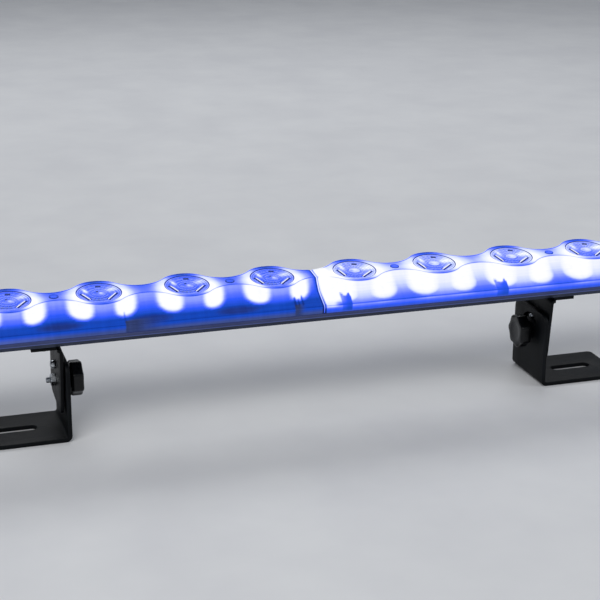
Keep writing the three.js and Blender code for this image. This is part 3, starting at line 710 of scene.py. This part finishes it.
def lens_glow(cx, turn):
    right = cx > 0

    def fn(x, y, z):
        c, sn = math.cos(math.radians(turn)), math.sin(math.radians(turn))
        dx, dy = (x - cx) * c + y * sn, -(x - cx) * sn + y * c          # in the optic's own axes
        r = np.hypot(dx, dy)
        ar = np.arctan2(dy, dx)
        a = np.degrees(ar)

        def lobe(m, wd):
            d = np.abs((a - m + 180) % 360 - 180)
            return np.exp(-(d / wd) ** 2)

        def spot(px, py, sx, sy, lean=0.0):
            k, q = math.cos(math.radians(lean)), math.sin(math.radians(lean))
            ux, uy = (dx - px) * k + (dy - py) * q, -(dx - px) * q + (dy - py) * k
            return np.exp(-(ux / sx) ** 2 - (uy / sy) ** 2)
        ringed = step(5.5, 8, r) * step(19.6, 18.0, r)
        t = (0.57 if right else 0.36) + 0 * r
        t = t + 0.16 * step(16.2, 18.2, r) * (1 - 0.7 * lobe(90, 45))
        t = t + (0.36 if right else 0.42) * spot(12.5, 6.5, 6.5, 5.5, 35)
        t = t + (0.34 if right else 0.55) * spot(-11.6, 7.4, 2.2, 6.0, 12)
        t = t - (0.24 if right else 0.08) * spot(1.5, -13.5, 7.5, 6.0) - (0.16 if right else 0.04) * spot(-8.5, -9.5, 4.5, 6.0)
        # fine lines of the optic
        q = dx * 0.87 - dy * 0.5
        t = t + (0.035 * np.sin(2.3 * q + 0.05 * cx) + 0.03 * np.sin(4.1 * q + 1.3)) * ringed * (1.0 if right else 0.6)
        t = t + (0.04 * np.sin(23 * ar + 1.3) + 0.03 * np.sin(41 * ar + 0.4)) * ringed
        t = t - 0.10 * gauss(r - 15.0, 2.2) * lobe(245, 22)
        # painted highlight (glint) on the optic beside each holder bar
        for deg, rr, ln in SLOTS:
            c2, s2 = math.cos(math.radians(deg)), math.sin(math.radians(deg))
            n, e = dx * c2 + dy * s2, dx * s2 - dy * c2
            t = t + 0.22 * gauss(n - (rr - 2.2), 0.9) * step(ln / 2 + 1.5, ln / 2 - 1.5, np.abs(e)) * (r > 8)
        if right:
            t = np.where(r < 5.6, 0.72 + 0.12 * spot(1.2, 0.6, 3.5, 3.5) - 0.10 * spot(-3.6, -2.0, 2.2, 2.2), t)
            t = t - 0.10 * gauss(r - 6.0, 0.6)
        else:
            t = t + 0.40 * spot(1.8, -0.6, 2.9, 3.2) + 0.10 * gauss(r - 5.6, 1.0)
            t = t - 0.50 * spot(-0.9, 3.4, 0.95, 1.7, -20)
        t = t + 0.10 * gauss(r - 20.0, 0.45) - 0.06 * gauss(r - 19.0, 0.35)
        t = np.where(r > 20.55, 0.08, t)
        t = np.where(z < 81.0, 0.25, t)
        return np.clip(t, 0, 1), np.zeros_like(t)
    return fn


LENS_PROFILE = [(0, 66.8), (4.5, 62.3), (7.4, 62.3), (10.4, 67.4), (13.6, 72.4), (17.2, 77.0), (20.55, 81.4), (20.7, 82.0),
                (20.7, 84.3), (20.62, 84.52), (20.4, 84.66), (20.0, 84.7), (19.6, 84.69), (19.25, 84.62), (18.95, 84.42), (18.65, 84.14), (18.3, 84.02),
                (17.7, 84.0), (17.2, 84.06), (16.7, 84.12), (16.2, 84.15), (15.5, 84.12), (14.8, 84.04), (14.2, 84.0), (13.6, 84.06), (13.0, 84.14), (12.2, 84.18), (11.4, 84.16),
                (10.6, 84.10), (10.0, 84.04), (9.4, 84.0), (8.9, 84.06), (8.4, 84.12), (7.8, 84.12), (7.2, 84.06), (6.7, 84.0), (6.3, 84.0), (6.0, 84.08), (5.7, 84.24), (5.4, 84.38),
                (4.9, 84.46), (4.2, 84.5), (3.2, 84.5), (2.2, 84.5), (1.5, 84.48), (1.1, 84.4), (0.85, 84.2), (0.6, 84.0), (0.3, 83.95), (0, 83.94)]

for i, cx in enumerate(LENS_X):
    v, f = lathe(LENS_PROFILE, 120, centre=(cx, 0, 0))
    o = mesh_object("lens_optic_%02d" % (i + 1), v, f, BAR, [LENS], "bar", 28, lens_glow(cx, TURN[i]))
    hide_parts("lens_%02d" % (i + 1))
    # holder bars set in the face: a dark clip and, beside it, a bar with a painted highlight (glint) at the edge of its
    # window, three round the rim
    parts, bright = [], []
    for deg, rr, ln in SLOTS:
        a = math.radians(deg + TURN[i])
        turn = Matrix.Translation((cx + rr * math.cos(a), rr * math.sin(a), 0)) @ Matrix.Rotation(a + math.pi / 2, 4, "Z")
        hwid = 1.7 if ln < 10 else 0.95
        parts.append((*moved(block(-ln / 2, ln / 2, -hwid, hwid, 83.4, 84.44, 0.35), turn), 0))
        if ln < 10:
            continue
        parts.append((*moved(block(-ln / 2 + 0.8, ln / 2 - 0.8, 1.25, 2.05, 83.4, 84.38, 0.25), turn), 1))
        e = ln / 2 - 2.6 if deg < 270 else -ln / 2 + 2.6
        parts.append((*moved(block(e - 1.9, e + 1.9, 2.5, 3.3, 83.4, 84.34, 0.3), turn), 0))
    v, f, k = joined(parts)

    def holder_dark_and_glint(x, y, z, cx=cx, turn=TURN[i]):
        t = np.full(np.shape(x), 0.07)
        for deg, rr, ln in SLOTS[1:]:
            c, sn = math.cos(math.radians(deg + turn)), math.sin(math.radians(deg + turn))
            n, e = (x - cx) * c + y * sn, (x - cx) * sn - y * c
            # painted highlight (glint) on the bar beside each long window
            t = np.where((n > rr - 2.2) & (n < rr - 1.15) & (np.abs(e) < ln / 2 + 1), 0.97, t)
        return t, np.zeros_like(t)
    mesh_object("lens_holder_%02d" % (i + 1), v, f, BAR, [CAPM, CAPM], "bar", 35, holder_dark_and_glint, k)

# ------------------------------------------------------------------ cover screws
for k, x in enumerate(SCREW_X):
    v, f = lathe([(0, 57.0), (1.5, 57.0), (1.5, 84.2), (4.25, 84.2), (4.5, 84.4), (4.5, 84.85), (4.38, 85.08), (4.1, 85.18), (3.4, 85.2),
                  (3.1, 85.12), (2.9, 84.95), (2.6, 84.9), (0, 84.9)], 40, centre=(x, 0, 0))

    def cap_glow(px, py, pz, x=x):
        r = np.hypot(px - x, py)
        t = (0.30 if x < 0 else 0.38) + 0.05 * (r < 2.6) - 0.20 * step(3.3, 3.9, r)
        return np.clip(t, 0, 1), np.zeros_like(t)
    o = mesh_object("cover_screw_cap_%02d" % (k + 1), v, f, BAR, [CAPM], "bar", 35, cap_glow)
    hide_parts("cover_screw_%02d" % (k + 1))


# ------------------------------------------------------------------ clamps: knobs, studs, nuts, pins
def polar_solid(xs, radius, seg, inner=None):
    """Solid about the X axis: radius(x, angle); inner is a bore radius or None."""
    verts = []
    for x in xs:
        for k in range(seg):
            a = 2 * math.pi * k / seg
            r = radius(x, a)
            verts.append((x, r * math.cos(a), r * math.sin(a)))
    n = len(xs)
    if inner is None:
        return verts, rings_faces(n, seg)
    faces = rings_faces(n, seg, True, False, False)
    b = len(verts)
    for x in (xs[0], xs[-1]):
        for k in range(seg):
            a = 2 * math.pi * k / seg
            verts.append((x, inner * math.cos(a), inner * math.sin(a)))
    for k in range(seg):
        k2 = (k + 1) % seg
        faces.append((k, b + k, b + k2, k2))
        e = (n - 1) * seg
        faces.append((e + k, e + k2, b + seg + k2, b + seg + k))
        faces.append((b + k, b + seg + k, b + seg + k2, b + k2))
    return verts, faces


for side, s in (("left", -1), ("right", 1)):
    # knob: seven soft lobes, crowned face with a shallow dish, collar towards the leg; distances from the bar's middle
    def knob_r(x, a, s=s):
        d = abs(x)
        t = (d - 226.0) / 11.5
        edge = min(d - 226.0, 237.5 - d)
        rnd = 2.4
        k = 1.0 if edge >= rnd else math.sqrt(max(1 - (1 - max(edge, 0) / rnd) ** 2, 0.0))
        lobe = 0.9 * math.cos(7 * a) + 0.12 * math.cos(14 * a)
        return (16.28 - rnd + lobe) + rnd * k
    prof = [226.0, 226.12, 226.4, 226.9, 227.5, 228.4, 229.6, 231, 232.5, 234, 235.1, 236, 236.6, 237.1, 237.38, 237.5]
    verts, faces = [], []
    seg = 140
    rows = []
    for d in [226.7, 226.55, 226.2, 226.0]:           # dished face
        rows.append(("face", d))
    face_r = {226.7: 3.0, 226.55: 7.0, 226.2: 9.2, 226.0: 10.4}
    ring_list = []
    ring_list.append([(226.75, 0.0)])
    for _, d in rows:
        ring_list.append([(d, face_r[d] + 0 * k) for k in range(seg)])
    for d in prof:
        ring_list.append([(d, knob_r(s * d, 2 * math.pi * k / seg)) for k in range(seg)])
    for d, r in ((237.5, 10.4), (237.9, 9.5), (238.4, 9.05), (241.0, 9.0), (241.5, 8.8), (241.7, 8.4)):
        ring_list.append([(d, r)] * seg)
    ring_list.append([(241.7, 3.3)] * seg)
    ring_list.append([(229.7, 3.3)] * seg)
    ring_list.append([(229.7, 0.0)])
    idx = []
    for ring in ring_list:
        if len(ring) == 1:
            idx.append([len(verts)]); verts.append((s * ring[0][0], 0, 0)); continue
        idx.append(list(range(len(verts), len(verts) + seg)))
        for k, (d, r) in enumerate(ring):
            a = 2 * math.pi * k / seg
            verts.append((s * d, r * math.cos(a), r * math.sin(a)))
    for A, B in zip(idx[:-1], idx[1:]):
        for k in range(seg):
            k2 = (k + 1) % seg
            if len(A) == 1:
                faces.append((A[0], B[k], B[k2]))
            elif len(B) == 1:
                faces.append((A[k], A[k2], B[0]))
            else:
                faces.append((A[k], A[k2], B[k2], B[k]))
    o = mesh_object("knob_lobed_" + side, verts, faces, at(CLAMP, side), [KNOB], side + "_knob", 50)
    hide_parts("clamp_knob_" + side)

    # stud with a rolled thread and a domed end
    pitch = 1.0
    xs = sorted(set([230.0, 230.5] + list(np.arange(230.9, 258.4, pitch / 6)) + [258.5, 259.0, 259.4, 259.5]))

    def stud_r(x, a):
        d = abs(x)
        if d > 258.4:
            return {258.5: 2.62, 259.0: 2.42, 259.4: 2.1, 259.5: 1.8}.get(round(d, 1), 2.1)
        if d < 230.6:
            return 2.5
        ph = (d / pitch + a / (2 * math.pi)) % 1.0
        return 2.97 - 0.5 * abs(2 * ph - 1)
    v, f = polar_solid([s * x for x in xs], stud_r, 32)
    o = mesh_object("stud_threaded_" + side, v, f, at(CLAMP, side), [ZINC], side + "_knob", 45)
    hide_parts("clamp_stud_" + side)

    # chamfered hex nut
    def nut_r(x, a):
        d = abs(x)
        e = min(d - 250.8, 255.3 - d)
        t = (a % (math.pi / 3)) - math.pi / 6
        hexr = 5.8 * math.cos(math.pi / 6) / math.cos(t)
        return min(hexr, 5.2 + 1.5 * max(e, 0))
    v, f = polar_solid([s * d for d in (250.8, 250.95, 251.15, 251.4, 252.2, 253.0, 254.0, 254.7, 254.95, 255.15, 255.3)], nut_r, 96, 3.3)
    o = mesh_object("nut_hex_" + side, v, f, at(CLAMP, side), [ZINC], "bar", 25)
    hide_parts("lock_nut_" + side)


def screw_along(axis, outer, inner_end, head_r, head_h, shank_r, y, z, x, sign, frame_matrix, name, node, body, drive="cross"):
    """Pan-head screw whose head top is at distance `outer` along the axis and whose tip is at `inner_end`."""
    u = np.linspace(0, 1, 7)
    prof = [(0, 0.0)] + [(head_r * 0.62 * t, 0.02 * t * t) for t in u[2:]]
    dome = [(head_r * (0.62 + 0.38 * math.sin(t * math.pi / 2)), head_h * 0.75 * (1 - math.cos(t * math.pi / 2))) for t in np.linspace(0.1, 1, 8)]
    prof += dome + [(head_r, head_h * 0.93), (head_r * 0.97, head_h), (shank_r + 0.25, head_h), (shank_r, head_h + 0.3)]
    L = abs(inner_end - outer)
    nth = int((L - head_h - 1.2) / 0.35)
    for k in range(nth):
        prof.append((shank_r - (0.0 if k % 2 else 0.22), head_h + 0.5 + 0.35 * k))
    prof += [(shank_r * 0.75, L - 0.3), (0, L)]
    prof = [(max(r, 0), h) for r, h in prof]
    v, f = lathe(prof, 36, "Z")
    o = mesh_object(name, v, f, Matrix.Identity(4), [ZINC], sharp=35)
    if drive == "cross":
        parts = []
        for ang in (0, math.pi / 2):
            parts.append((*moved(block(-head_r * 0.52, head_r * 0.52, -head_r * 0.1, head_r * 0.1, -0.6, head_h * 0.55, 0.08), Matrix.Rotation(ang, 4, "Z")), 0))
        for pt in parts:
            c = mesh_object("cutter", pt[0], pt[1], Matrix.Identity(4), [ZINC])
            boolean(o, c)
    else:
        t = [(head_r * 0.5 * math.cos(k * math.pi / 3), head_r * 0.5 * math.sin(k * math.pi / 3)) for k in range(6)]
        cv = [(a, b, -0.6) for a, b in t] + [(a, b, head_h * 0.7) for a, b in t]
        c = mesh_object("cutter", cv, rings_faces(2, 6), Matrix.Identity(4), [ZINC])
        boolean(o, c)
    # local +Z of the lathe runs from the head's top into the part
    if axis == "X":
        place = Matrix.Translation((outer, y, z)) @ Matrix.Rotation(math.pi / 2 * (-sign), 4, "Y")
    else:
        place = Matrix.Translation((x, y, outer)) if sign > 0 else Matrix.Translation((x, y, outer)) @ Matrix.Rotation(math.pi, 4, "X")
    o.data.transform(frame_matrix @ place)
    smooth(o, 35)
    if not o.data.materials:
        o.data.materials.append(ZINC)
    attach(o, body)
    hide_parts(node)
    return o


for side, s in (("left", -1), ("right", 1)):
    for n, y in ((1, -32), (2, 32)):
        screw_along("X", s * 507.8, s * 489.0, 3.0, 1.7, 1.5, y, 60.8, 0, s, BAR, "end_screw_pan_%s_%d" % (side, n), "end_screw_%s_%d" % (side, n), "bar")
    for n, y in ((1, -16), (2, 16)):
        # heads under the ear's flange, pointing down
        screw_along("Z", 39.5, 47.2, 4.0, 2.4, 2.0, y, 0, s * 263, 1, at(BAR, side), "ear_screw_pan_%s_%d" % (side, n), "ear_screw_%s_%d" % (side, n), "bar")
    screw_along("X", s * 255.1, s * 241.0, 4.0, 4.3, 2.0, 0, 16.0, 0, s, at(BAR, side), "guide_pin_screw_" + side, "guide_pin_" + side, "bar", drive="hex")


# ------------------------------------------------------------------ floor brackets and tilt ears
def arc_slot(r, w, centre_z, half_deg, x0, x1, n=26):
    up = math.pi / 2
    pts = []
    h = math.radians(half_deg)
    for k in range(n + 1):
        a = up - h + 2 * h * k / n
        pts.append(((r + w) * math.cos(a), (r + w) * math.sin(a)))
    for k in range(1, 8):
        a = up + h + math.pi * k / 8
        pts.append((r * math.cos(up + h) + w * math.cos(a), r * math.sin(up + h) + w * math.sin(a)))
    for k in range(n + 1):
        a = up + h - 2 * h * k / n
        pts.append(((r - w) * math.cos(a), (r - w) * math.sin(a)))
    for k in range(1, 8):
        a = up - h + math.pi + math.pi * k / 8
        pts.append((r * math.cos(up - h) + w * math.cos(a), r * math.sin(up - h) + w * math.sin(a)))
    v = [(x0, y, z + centre_z) for y, z in pts] + [(x1, y, z + centre_z) for y, z in pts]
    return v, rings_faces(2, len(pts))


def corner_cutter(y, z, sy, sz, r, x0, x1, n=12):
    """Cuts a square corner at (y, z) to radius r; sy, sz point into the plate."""
    pts = [(y - sy, z - sz), (y + sy * r, z - sz)]
    for k in range(n + 1):
        a = math.pi / 2 * k / n
        pts.append((y + sy * (r - r * math.sin(a)), z + sz * (r - r * math.cos(a))))
    pts.append((y - sy, z + sz * r))
    v = [(x0, a, b) for a, b in pts] + [(x1, a, b) for a, b in pts]
    return v, rings_faces(2, len(pts))


def turned(part, order):
    v, f = part
    return [tuple(p[k] for k in order) for p in v], f


for side, s in (("left", -1), ("right", 1)):
    T = 4.0
    ri, ro = 2.0, 6.0
    # bent plate in X-Z: outer outline is the leg's inner face (towards the middle) and the underside
    prof = []
    x_in, x_out, h = 242.0, 334.0, 75.0
    prof.append((x_in, h))
    prof.append((x_in, 40.0)); prof.append((x_in, ro))
    for k in range(1, 10):
        a = math.pi / 2 * k / 10
        prof.append((x_in + ro - ro * math.cos(a), ro - ro * math.sin(a)))
    prof.append((x_in + ro, 0.0)); prof.append((x_out, 0.0)); prof.append((x_out, T)); prof.append((x_in + T + ri, T))
    for k in range(1, 8):
        a = math.pi / 2 * k / 8
        prof.append((x_in + T + ri - ri * math.sin(a), T + ri - ri * math.cos(a)))
    prof.append((x_in + T, T + ri)); prof.append((x_in + T, 40.0)); prof.append((x_in + T, h))
    ys = [-35.0, -20.0, 0.0, 20.0, 35.0]
    v = [(s * x, y, z) for y in ys for x, z in prof]
    o = mesh_object("foot_plate_bent_" + side, v, rings_faces(len(ys), len(prof)), at(FOOT, side), [COAT], sharp=35)
    a, b = s * 238, s * 250
    cutters = [corner_cutter(-35, 75, 1, -1, 10, a, b), corner_cutter(35, 75, -1, -1, 10, a, b),
               arc_slot(16, 2.45, 50, 45, a, b),
               ([(x, 3.3 * math.cos(2 * math.pi * k / 40), 50 + 3.3 * math.sin(2 * math.pi * k / 40)) for x in (a, b) for k in range(40)], rings_faces(2, 40))]
    # foot corners and the long slot, made upright and turned to lie along Z
    for y, sy in ((-35, 1), (35, -1)):
        v2, f2 = corner_cutter(s * 334, y, -s, sy, 5, -2, 6)
        cutters.append(([(p[1], p[2], p[0]) for p in v2], f2))
    pts = []
    for k in range(17):
        t = -math.pi / 2 + math.pi * k / 16
        pts.append((308.5 + 5.5 * math.cos(t), 5.5 * math.sin(t)))
    for k in range(17):
        t = math.pi / 2 + math.pi * k / 16
        pts.append((275.5 + 5.5 * math.cos(t), 5.5 * math.sin(t)))
    cutters.append(([(s * x, y, z) for z in (-2, 7) for x, y in pts], rings_faces(2, len(pts))))
    for cv, cf in cutters:
        boolean(o, mesh_object("cutter", cv, cf, at(FOOT, side), [COAT]))
    if not o.data.materials:
        o.data.materials.append(COAT)
    bevel(o, 0.55, 3, 40)
    baked(o)
    smooth(o, 40)
    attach(o, side + "_foot")
    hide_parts("foot_bracket_" + side)

    # tilt ear: bent sheet with its flange under the channel
    T, ri, ro = 3.0, 1.5, 4.5
    top = Z_BELLY - 0.3
    x_in, x_out = 247.5, 275.5
    prof = [(x_in, -24.0), (x_in, 10.0), (x_in, top - ro)]
    for k in range(1, 9):
        a_ = math.pi / 2 * k / 9
        prof.append((x_in + ro - ro * math.cos(a_), top - ro + ro * math.sin(a_)))
    prof += [(x_in + ro, top), (x_out, top), (x_out, top - T), (x_in + T + ri, top - T)]
    for k in range(1, 6):
        a_ = math.pi / 2 * k / 6
        prof.append((x_in + T + ri - ri * math.sin(a_), top - T - ri + ri * math.cos(a_)))
    prof += [(x_in + T, top - T - ri), (x_in + T, 10.0), (x_in + T, -24.0)]
    ys = [-30.0, -15.0, 0.0, 15.0, 30.0]
    v = [(s * x, y, z) for y in ys for x, z in prof]
    o = mesh_object("ear_plate_bent_" + side, v, rings_faces(len(ys), len(prof)), at(BAR, side), [COAT], sharp=35)
    a, b = s * 244, s * 253
    cutters = [corner_cutter(-30, -24, 1, 1, 10, a, b), corner_cutter(30, -24, -1, 1, 10, a, b),
               ([(x, 3.3 * math.cos(2 * math.pi * k / 40), 3.3 * math.sin(2 * math.pi * k / 40)) for x in (a, b) for k in range(40)], rings_faces(2, 40)),
               ([(x, 2.3 * math.cos(2 * math.pi * k / 24), 16 + 2.3 * math.sin(2 * math.pi * k / 24)) for x in (a, b) for k in range(24)], rings_faces(2, 24))]
    for y in (-16, 16):
        cutters.append(([(s * 263 + 2.4 * math.cos(2 * math.pi * k / 24), y + 2.4 * math.sin(2 * math.pi * k / 24), z) for z in (38, 48) for k in range(24)], rings_faces(2, 24)))
    # the flange is narrower than the plate
    for sy in (-1, 1):
        vv = [(x, y, z) for x in (s * 252.6, s * 280) for y, z in ((sy * 24, 36), (sy * 34, 36), (sy * 34, 50), (sy * 24, 50))]
        cutters.append((vv, rings_faces(2, 4)))
    for cv, cf in cutters:
        boolean(o, mesh_object("cutter", cv, cf, at(BAR, side), [COAT]))
    if not o.data.materials:
        o.data.materials.append(COAT)
    bevel(o, 0.4, 3, 40)
    baked(o)
    smooth(o, 40)
    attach(o, "bar")
    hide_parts("tilt_ear_" + side)

# ------------------------------------------------------------------ end sockets
for side, s, d in (("left", -1, "in"), ("right", 1, "out")):
    for role, y in (("power", -16.5), ("data", 16.5)):
        prof = [(0, 500.3), (11.95, 500.3), (11.95, 508.3), (13.9, 508.3), (14.35, 508.6), (14.4, 509.0), (14.4, 509.7), (14.2, 510.1), (13.7, 510.3),
                (12.4, 510.3), (12.1, 510.6), (12.0, 511.0), (12.0, 511.9), (11.7, 512.2), (11.7, 512.7), (12.0, 513.0), (12.0, 513.9), (11.7, 514.2), (11.7, 514.7), (12.0, 515.0), (12.0, 516.2), (11.7, 516.8), (11.2, 517.0),
                (10.75, 517.0), (10.4, 516.75), (10.3, 516.3), (10.3, 503.2), (9.9, 502.9), (0, 502.9)]
        v, f = lathe(prof, 64, "X", (0, y, 61.5), s)
        parts = [(v, f, 0)]
        for deg in (90, 210, 330):
            a = math.radians(deg)
            cy, cz = y + 6.4 * math.cos(a), 61.5 + 6.4 * math.sin(a)
            if role == "data":
                pv, pf = lathe([(0, 502.5), (1.2, 502.5), (1.2, 511.7), (0.9, 512.2), (0.5, 512.45), (0, 512.5)], 20, "X", (0, cy, cz), s)
            else:
                pv, pf = block(s * 502.3, s * 512.5, cy - 0.9, cy + 0.9, cz - 1.8, cz + 1.8, 0.3)
            parts.append((pv, pf, 1))
        # the key inside the mouth
        parts.append((*block(s * 503.5, s * 516.0, y - 1.2, y + 1.2, 61.5 - 10.4, 61.5 - 9.3, 0.3), 0))
        V, F, K = joined(parts)
        o = mesh_object("%s_%s_socket_body" % (role, d), V, F, BAR, [SOCKP, BRASS], "bar", 38, None, K)
        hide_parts("%s_%s_socket" % (role, d))

# ------------------------------------------------------------------ safety eye
EYE = 352.0
path = [(-10, 47.2), (-10, 44.5), (-10, 42), (-9.9, 39), (-9.3, 36.2), (-7.9, 33.9), (-5.6, 32.0), (-3.0, 30.7), (0, 30.2),
        (3.0, 30.7), (5.6, 32.0), (7.9, 33.9), (9.3, 36.2), (9.9, 39), (10, 42), (10, 44.5), (10, 47.2)]
dense = []
for k in range(len(path) - 1):
    p0, p1, p2, p3 = path[max(k - 1, 0)], path[k], path[k + 1], path[min(k + 2, len(path) - 1)]
    for t in (0, 0.33, 0.66):
        dense.append(tuple(0.5 * (2 * p1[i] + (p2[i] - p0[i]) * t + (2 * p0[i] - 5 * p1[i] + 4 * p2[i] - p3[i]) * t * t + (3 * p1[i] - p0[i] - 3 * p2[i] + p3[i]) * t ** 3) for i in range(2)))
dense.append(path[-1])
verts = []
for k, (x, z) in enumerate(dense):
    a, b = dense[max(k - 1, 0)], dense[min(k + 1, len(dense) - 1)]
    t = Vector((b[0] - a[0], 0, b[1] - a[1])).normalized()
    n = Vector((t.z, 0, -t.x))
    for j in range(20):
        g = 2 * math.pi * j / 20
        p = Vector((EYE + x, 0, z)) + n * (1.98 * math.cos(g)) + Vector((0, 1, 0)) * (1.98 * math.sin(g))
        verts.append(tuple(p))
parts = [(verts, rings_faces(len(dense), 20), 0), (*block(EYE - 14, EYE + 14, -5, 5, 42.7, 45.2, 0.7), 0)]
V, F, K = joined(parts)
o = mesh_object("safety_eye_loop_ring", V, F, BAR, [ZINC], "bar", 40)
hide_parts("safety_eye")

# ------------------------------------------------------------------ carried-over CAD nodes: edges and finishes
def dress(node, mat, width=0.0, segments=2, angle=35):
    o = nodes[node]
    o.data.materials.clear()
    o.data.materials.append(mat)
    if width:
        bevel(o, width, segments, angle)
    return o


dress("housing", ALU, 0.35, 2)
WHITE = board_mat("white_board", (205, 210, 216), (226, 229, 232))
GREEN = board_mat("green_board", (16, 70, 42), (26, 92, 56))
CAN = zinc()
for side in ("left", "right"):
    dress("led_board_" + side, WHITE)
    dress("end_cap_" + side, CAPP, 0.5, 3)
    dress("friction_washer_" + side, ZINC, 0.2, 2)
dress("power_supply", CAN, 0.4)
dress("driver_board", GREEN)
dress("control_panel", PANELP, 0.4, 3)
dress("display_window", window_mat(), 0.2, 2)
RUB = rubber()
for k in range(1, 5):
    dress("menu_button_%d" % k, RUB, 0.5, 3)

# ------------------------------------------------------------------ floor, light, camera
def studio_floor():
    m = Mat("studio_floor")
    n = m.noise(0.01, 3.0, local=False)
    m.link(m.ramp(n, [(0.3, (214, 215, 217)), (0.7, (221, 222, 223))]), m.b.inputs["Base Color"])
    m.link(m.remap(n, 0.3, 0.7, 0.62, 0.70), m.b.inputs["Roughness"])
    m.set(Specular_IOR_Level=0.2)
    return m.m


F = 30.0
fl = []
for x in (-F, F):
    pts = [(-F, 0.0)] + [(12.0, 0.0)] + [(12.0 + 5.0 * math.sin(a), 5.0 - 5.0 * math.cos(a)) for a in np.linspace(0, math.pi / 2, 18)[1:]] + [(17.0, 14.0)]
    fl += [(x, y, z - 0.0002) for y, z in pts]
n = len(pts)
me = bpy.data.meshes.new("studio_sweep")
me.from_pydata(fl, [], [(k, k + 1, n + k + 1, n + k) for k in range(n - 1)])
me.update()
sweep = bpy.data.objects.new("studio_sweep", me)
bpy.context.scene.collection.objects.link(sweep)
me.materials.append(studio_floor())
me.polygons.foreach_set("use_smooth", [True] * len(me.polygons))

world = bpy.data.worlds.new("studio_world")
bpy.context.scene.world = world
world.use_nodes = True
bg = world.node_tree.nodes["Background"]
bg.inputs[0].default_value = (0.80, 0.84, 0.92, 1)
bg.inputs[1].default_value = 0.34


def area(name, loc, target, size, power, colour=(1, 1, 1)):
    l = bpy.data.lights.new(name, "AREA")
    l.shape, l.size, l.size_y, l.energy, l.color = "RECTANGLE", size[0], size[1], power, colour
    o = bpy.data.objects.new(name, l)
    bpy.context.scene.collection.objects.link(o)
    o.location = loc
    o.rotation_mode = "QUATERNION"
    o.rotation_quaternion = (Vector(target) - Vector(loc)).to_track_quat("-Z", "Y")
    return o


area("key_soft", (-1.3, -1.5, 2.2), (0, 0, 0.05), (1.8, 1.2), 34, (1.0, 0.99, 0.97))
area("fill_soft", (2.0, -1.2, 1.5), (0, 0, 0.05), (1.4, 1.4), 12, (0.95, 0.97, 1.0))
area("back_soft", (0.4, 2.0, 1.9), (0, 0, 0.05), (2.4, 0.8), 22, (0.97, 0.98, 1.0))

cam = bpy.data.cameras.new("camera")
cam.sensor_width = 36.0
cam.lens = 91.31
cam.clip_start, cam.clip_end = 0.05, 50.0
co = bpy.data.objects.new("camera", cam)
bpy.context.scene.collection.objects.link(co)
yaw, pitch, roll = (math.radians(a) for a in (17.869, 18.777, 0.519))
fw = Vector((math.sin(yaw) * math.cos(pitch), math.cos(yaw) * math.cos(pitch), -math.sin(pitch)))
rt = Vector((math.cos(yaw), -math.sin(yaw), 0))
up = rt.cross(fw)
rt2 = rt * math.cos(roll) + up * math.sin(roll)
up2 = up * math.cos(roll) - rt * math.sin(roll)
rotm = Matrix((rt2, up2, -fw)).transposed()
co.matrix_world = Matrix.Translation((-0.4398, -1.3266, 0.5811)) @ rotm.to_4x4()
bpy.context.scene.camera = co
bpy.context.scene.view_settings.view_transform = "Standard"
bpy.context.scene.view_settings.look = "None"
bpy.context.scene.view_settings.exposure = 0.0
bpy.context.scene.view_settings.gamma = 1.0

bpy.context.view_layer.update()
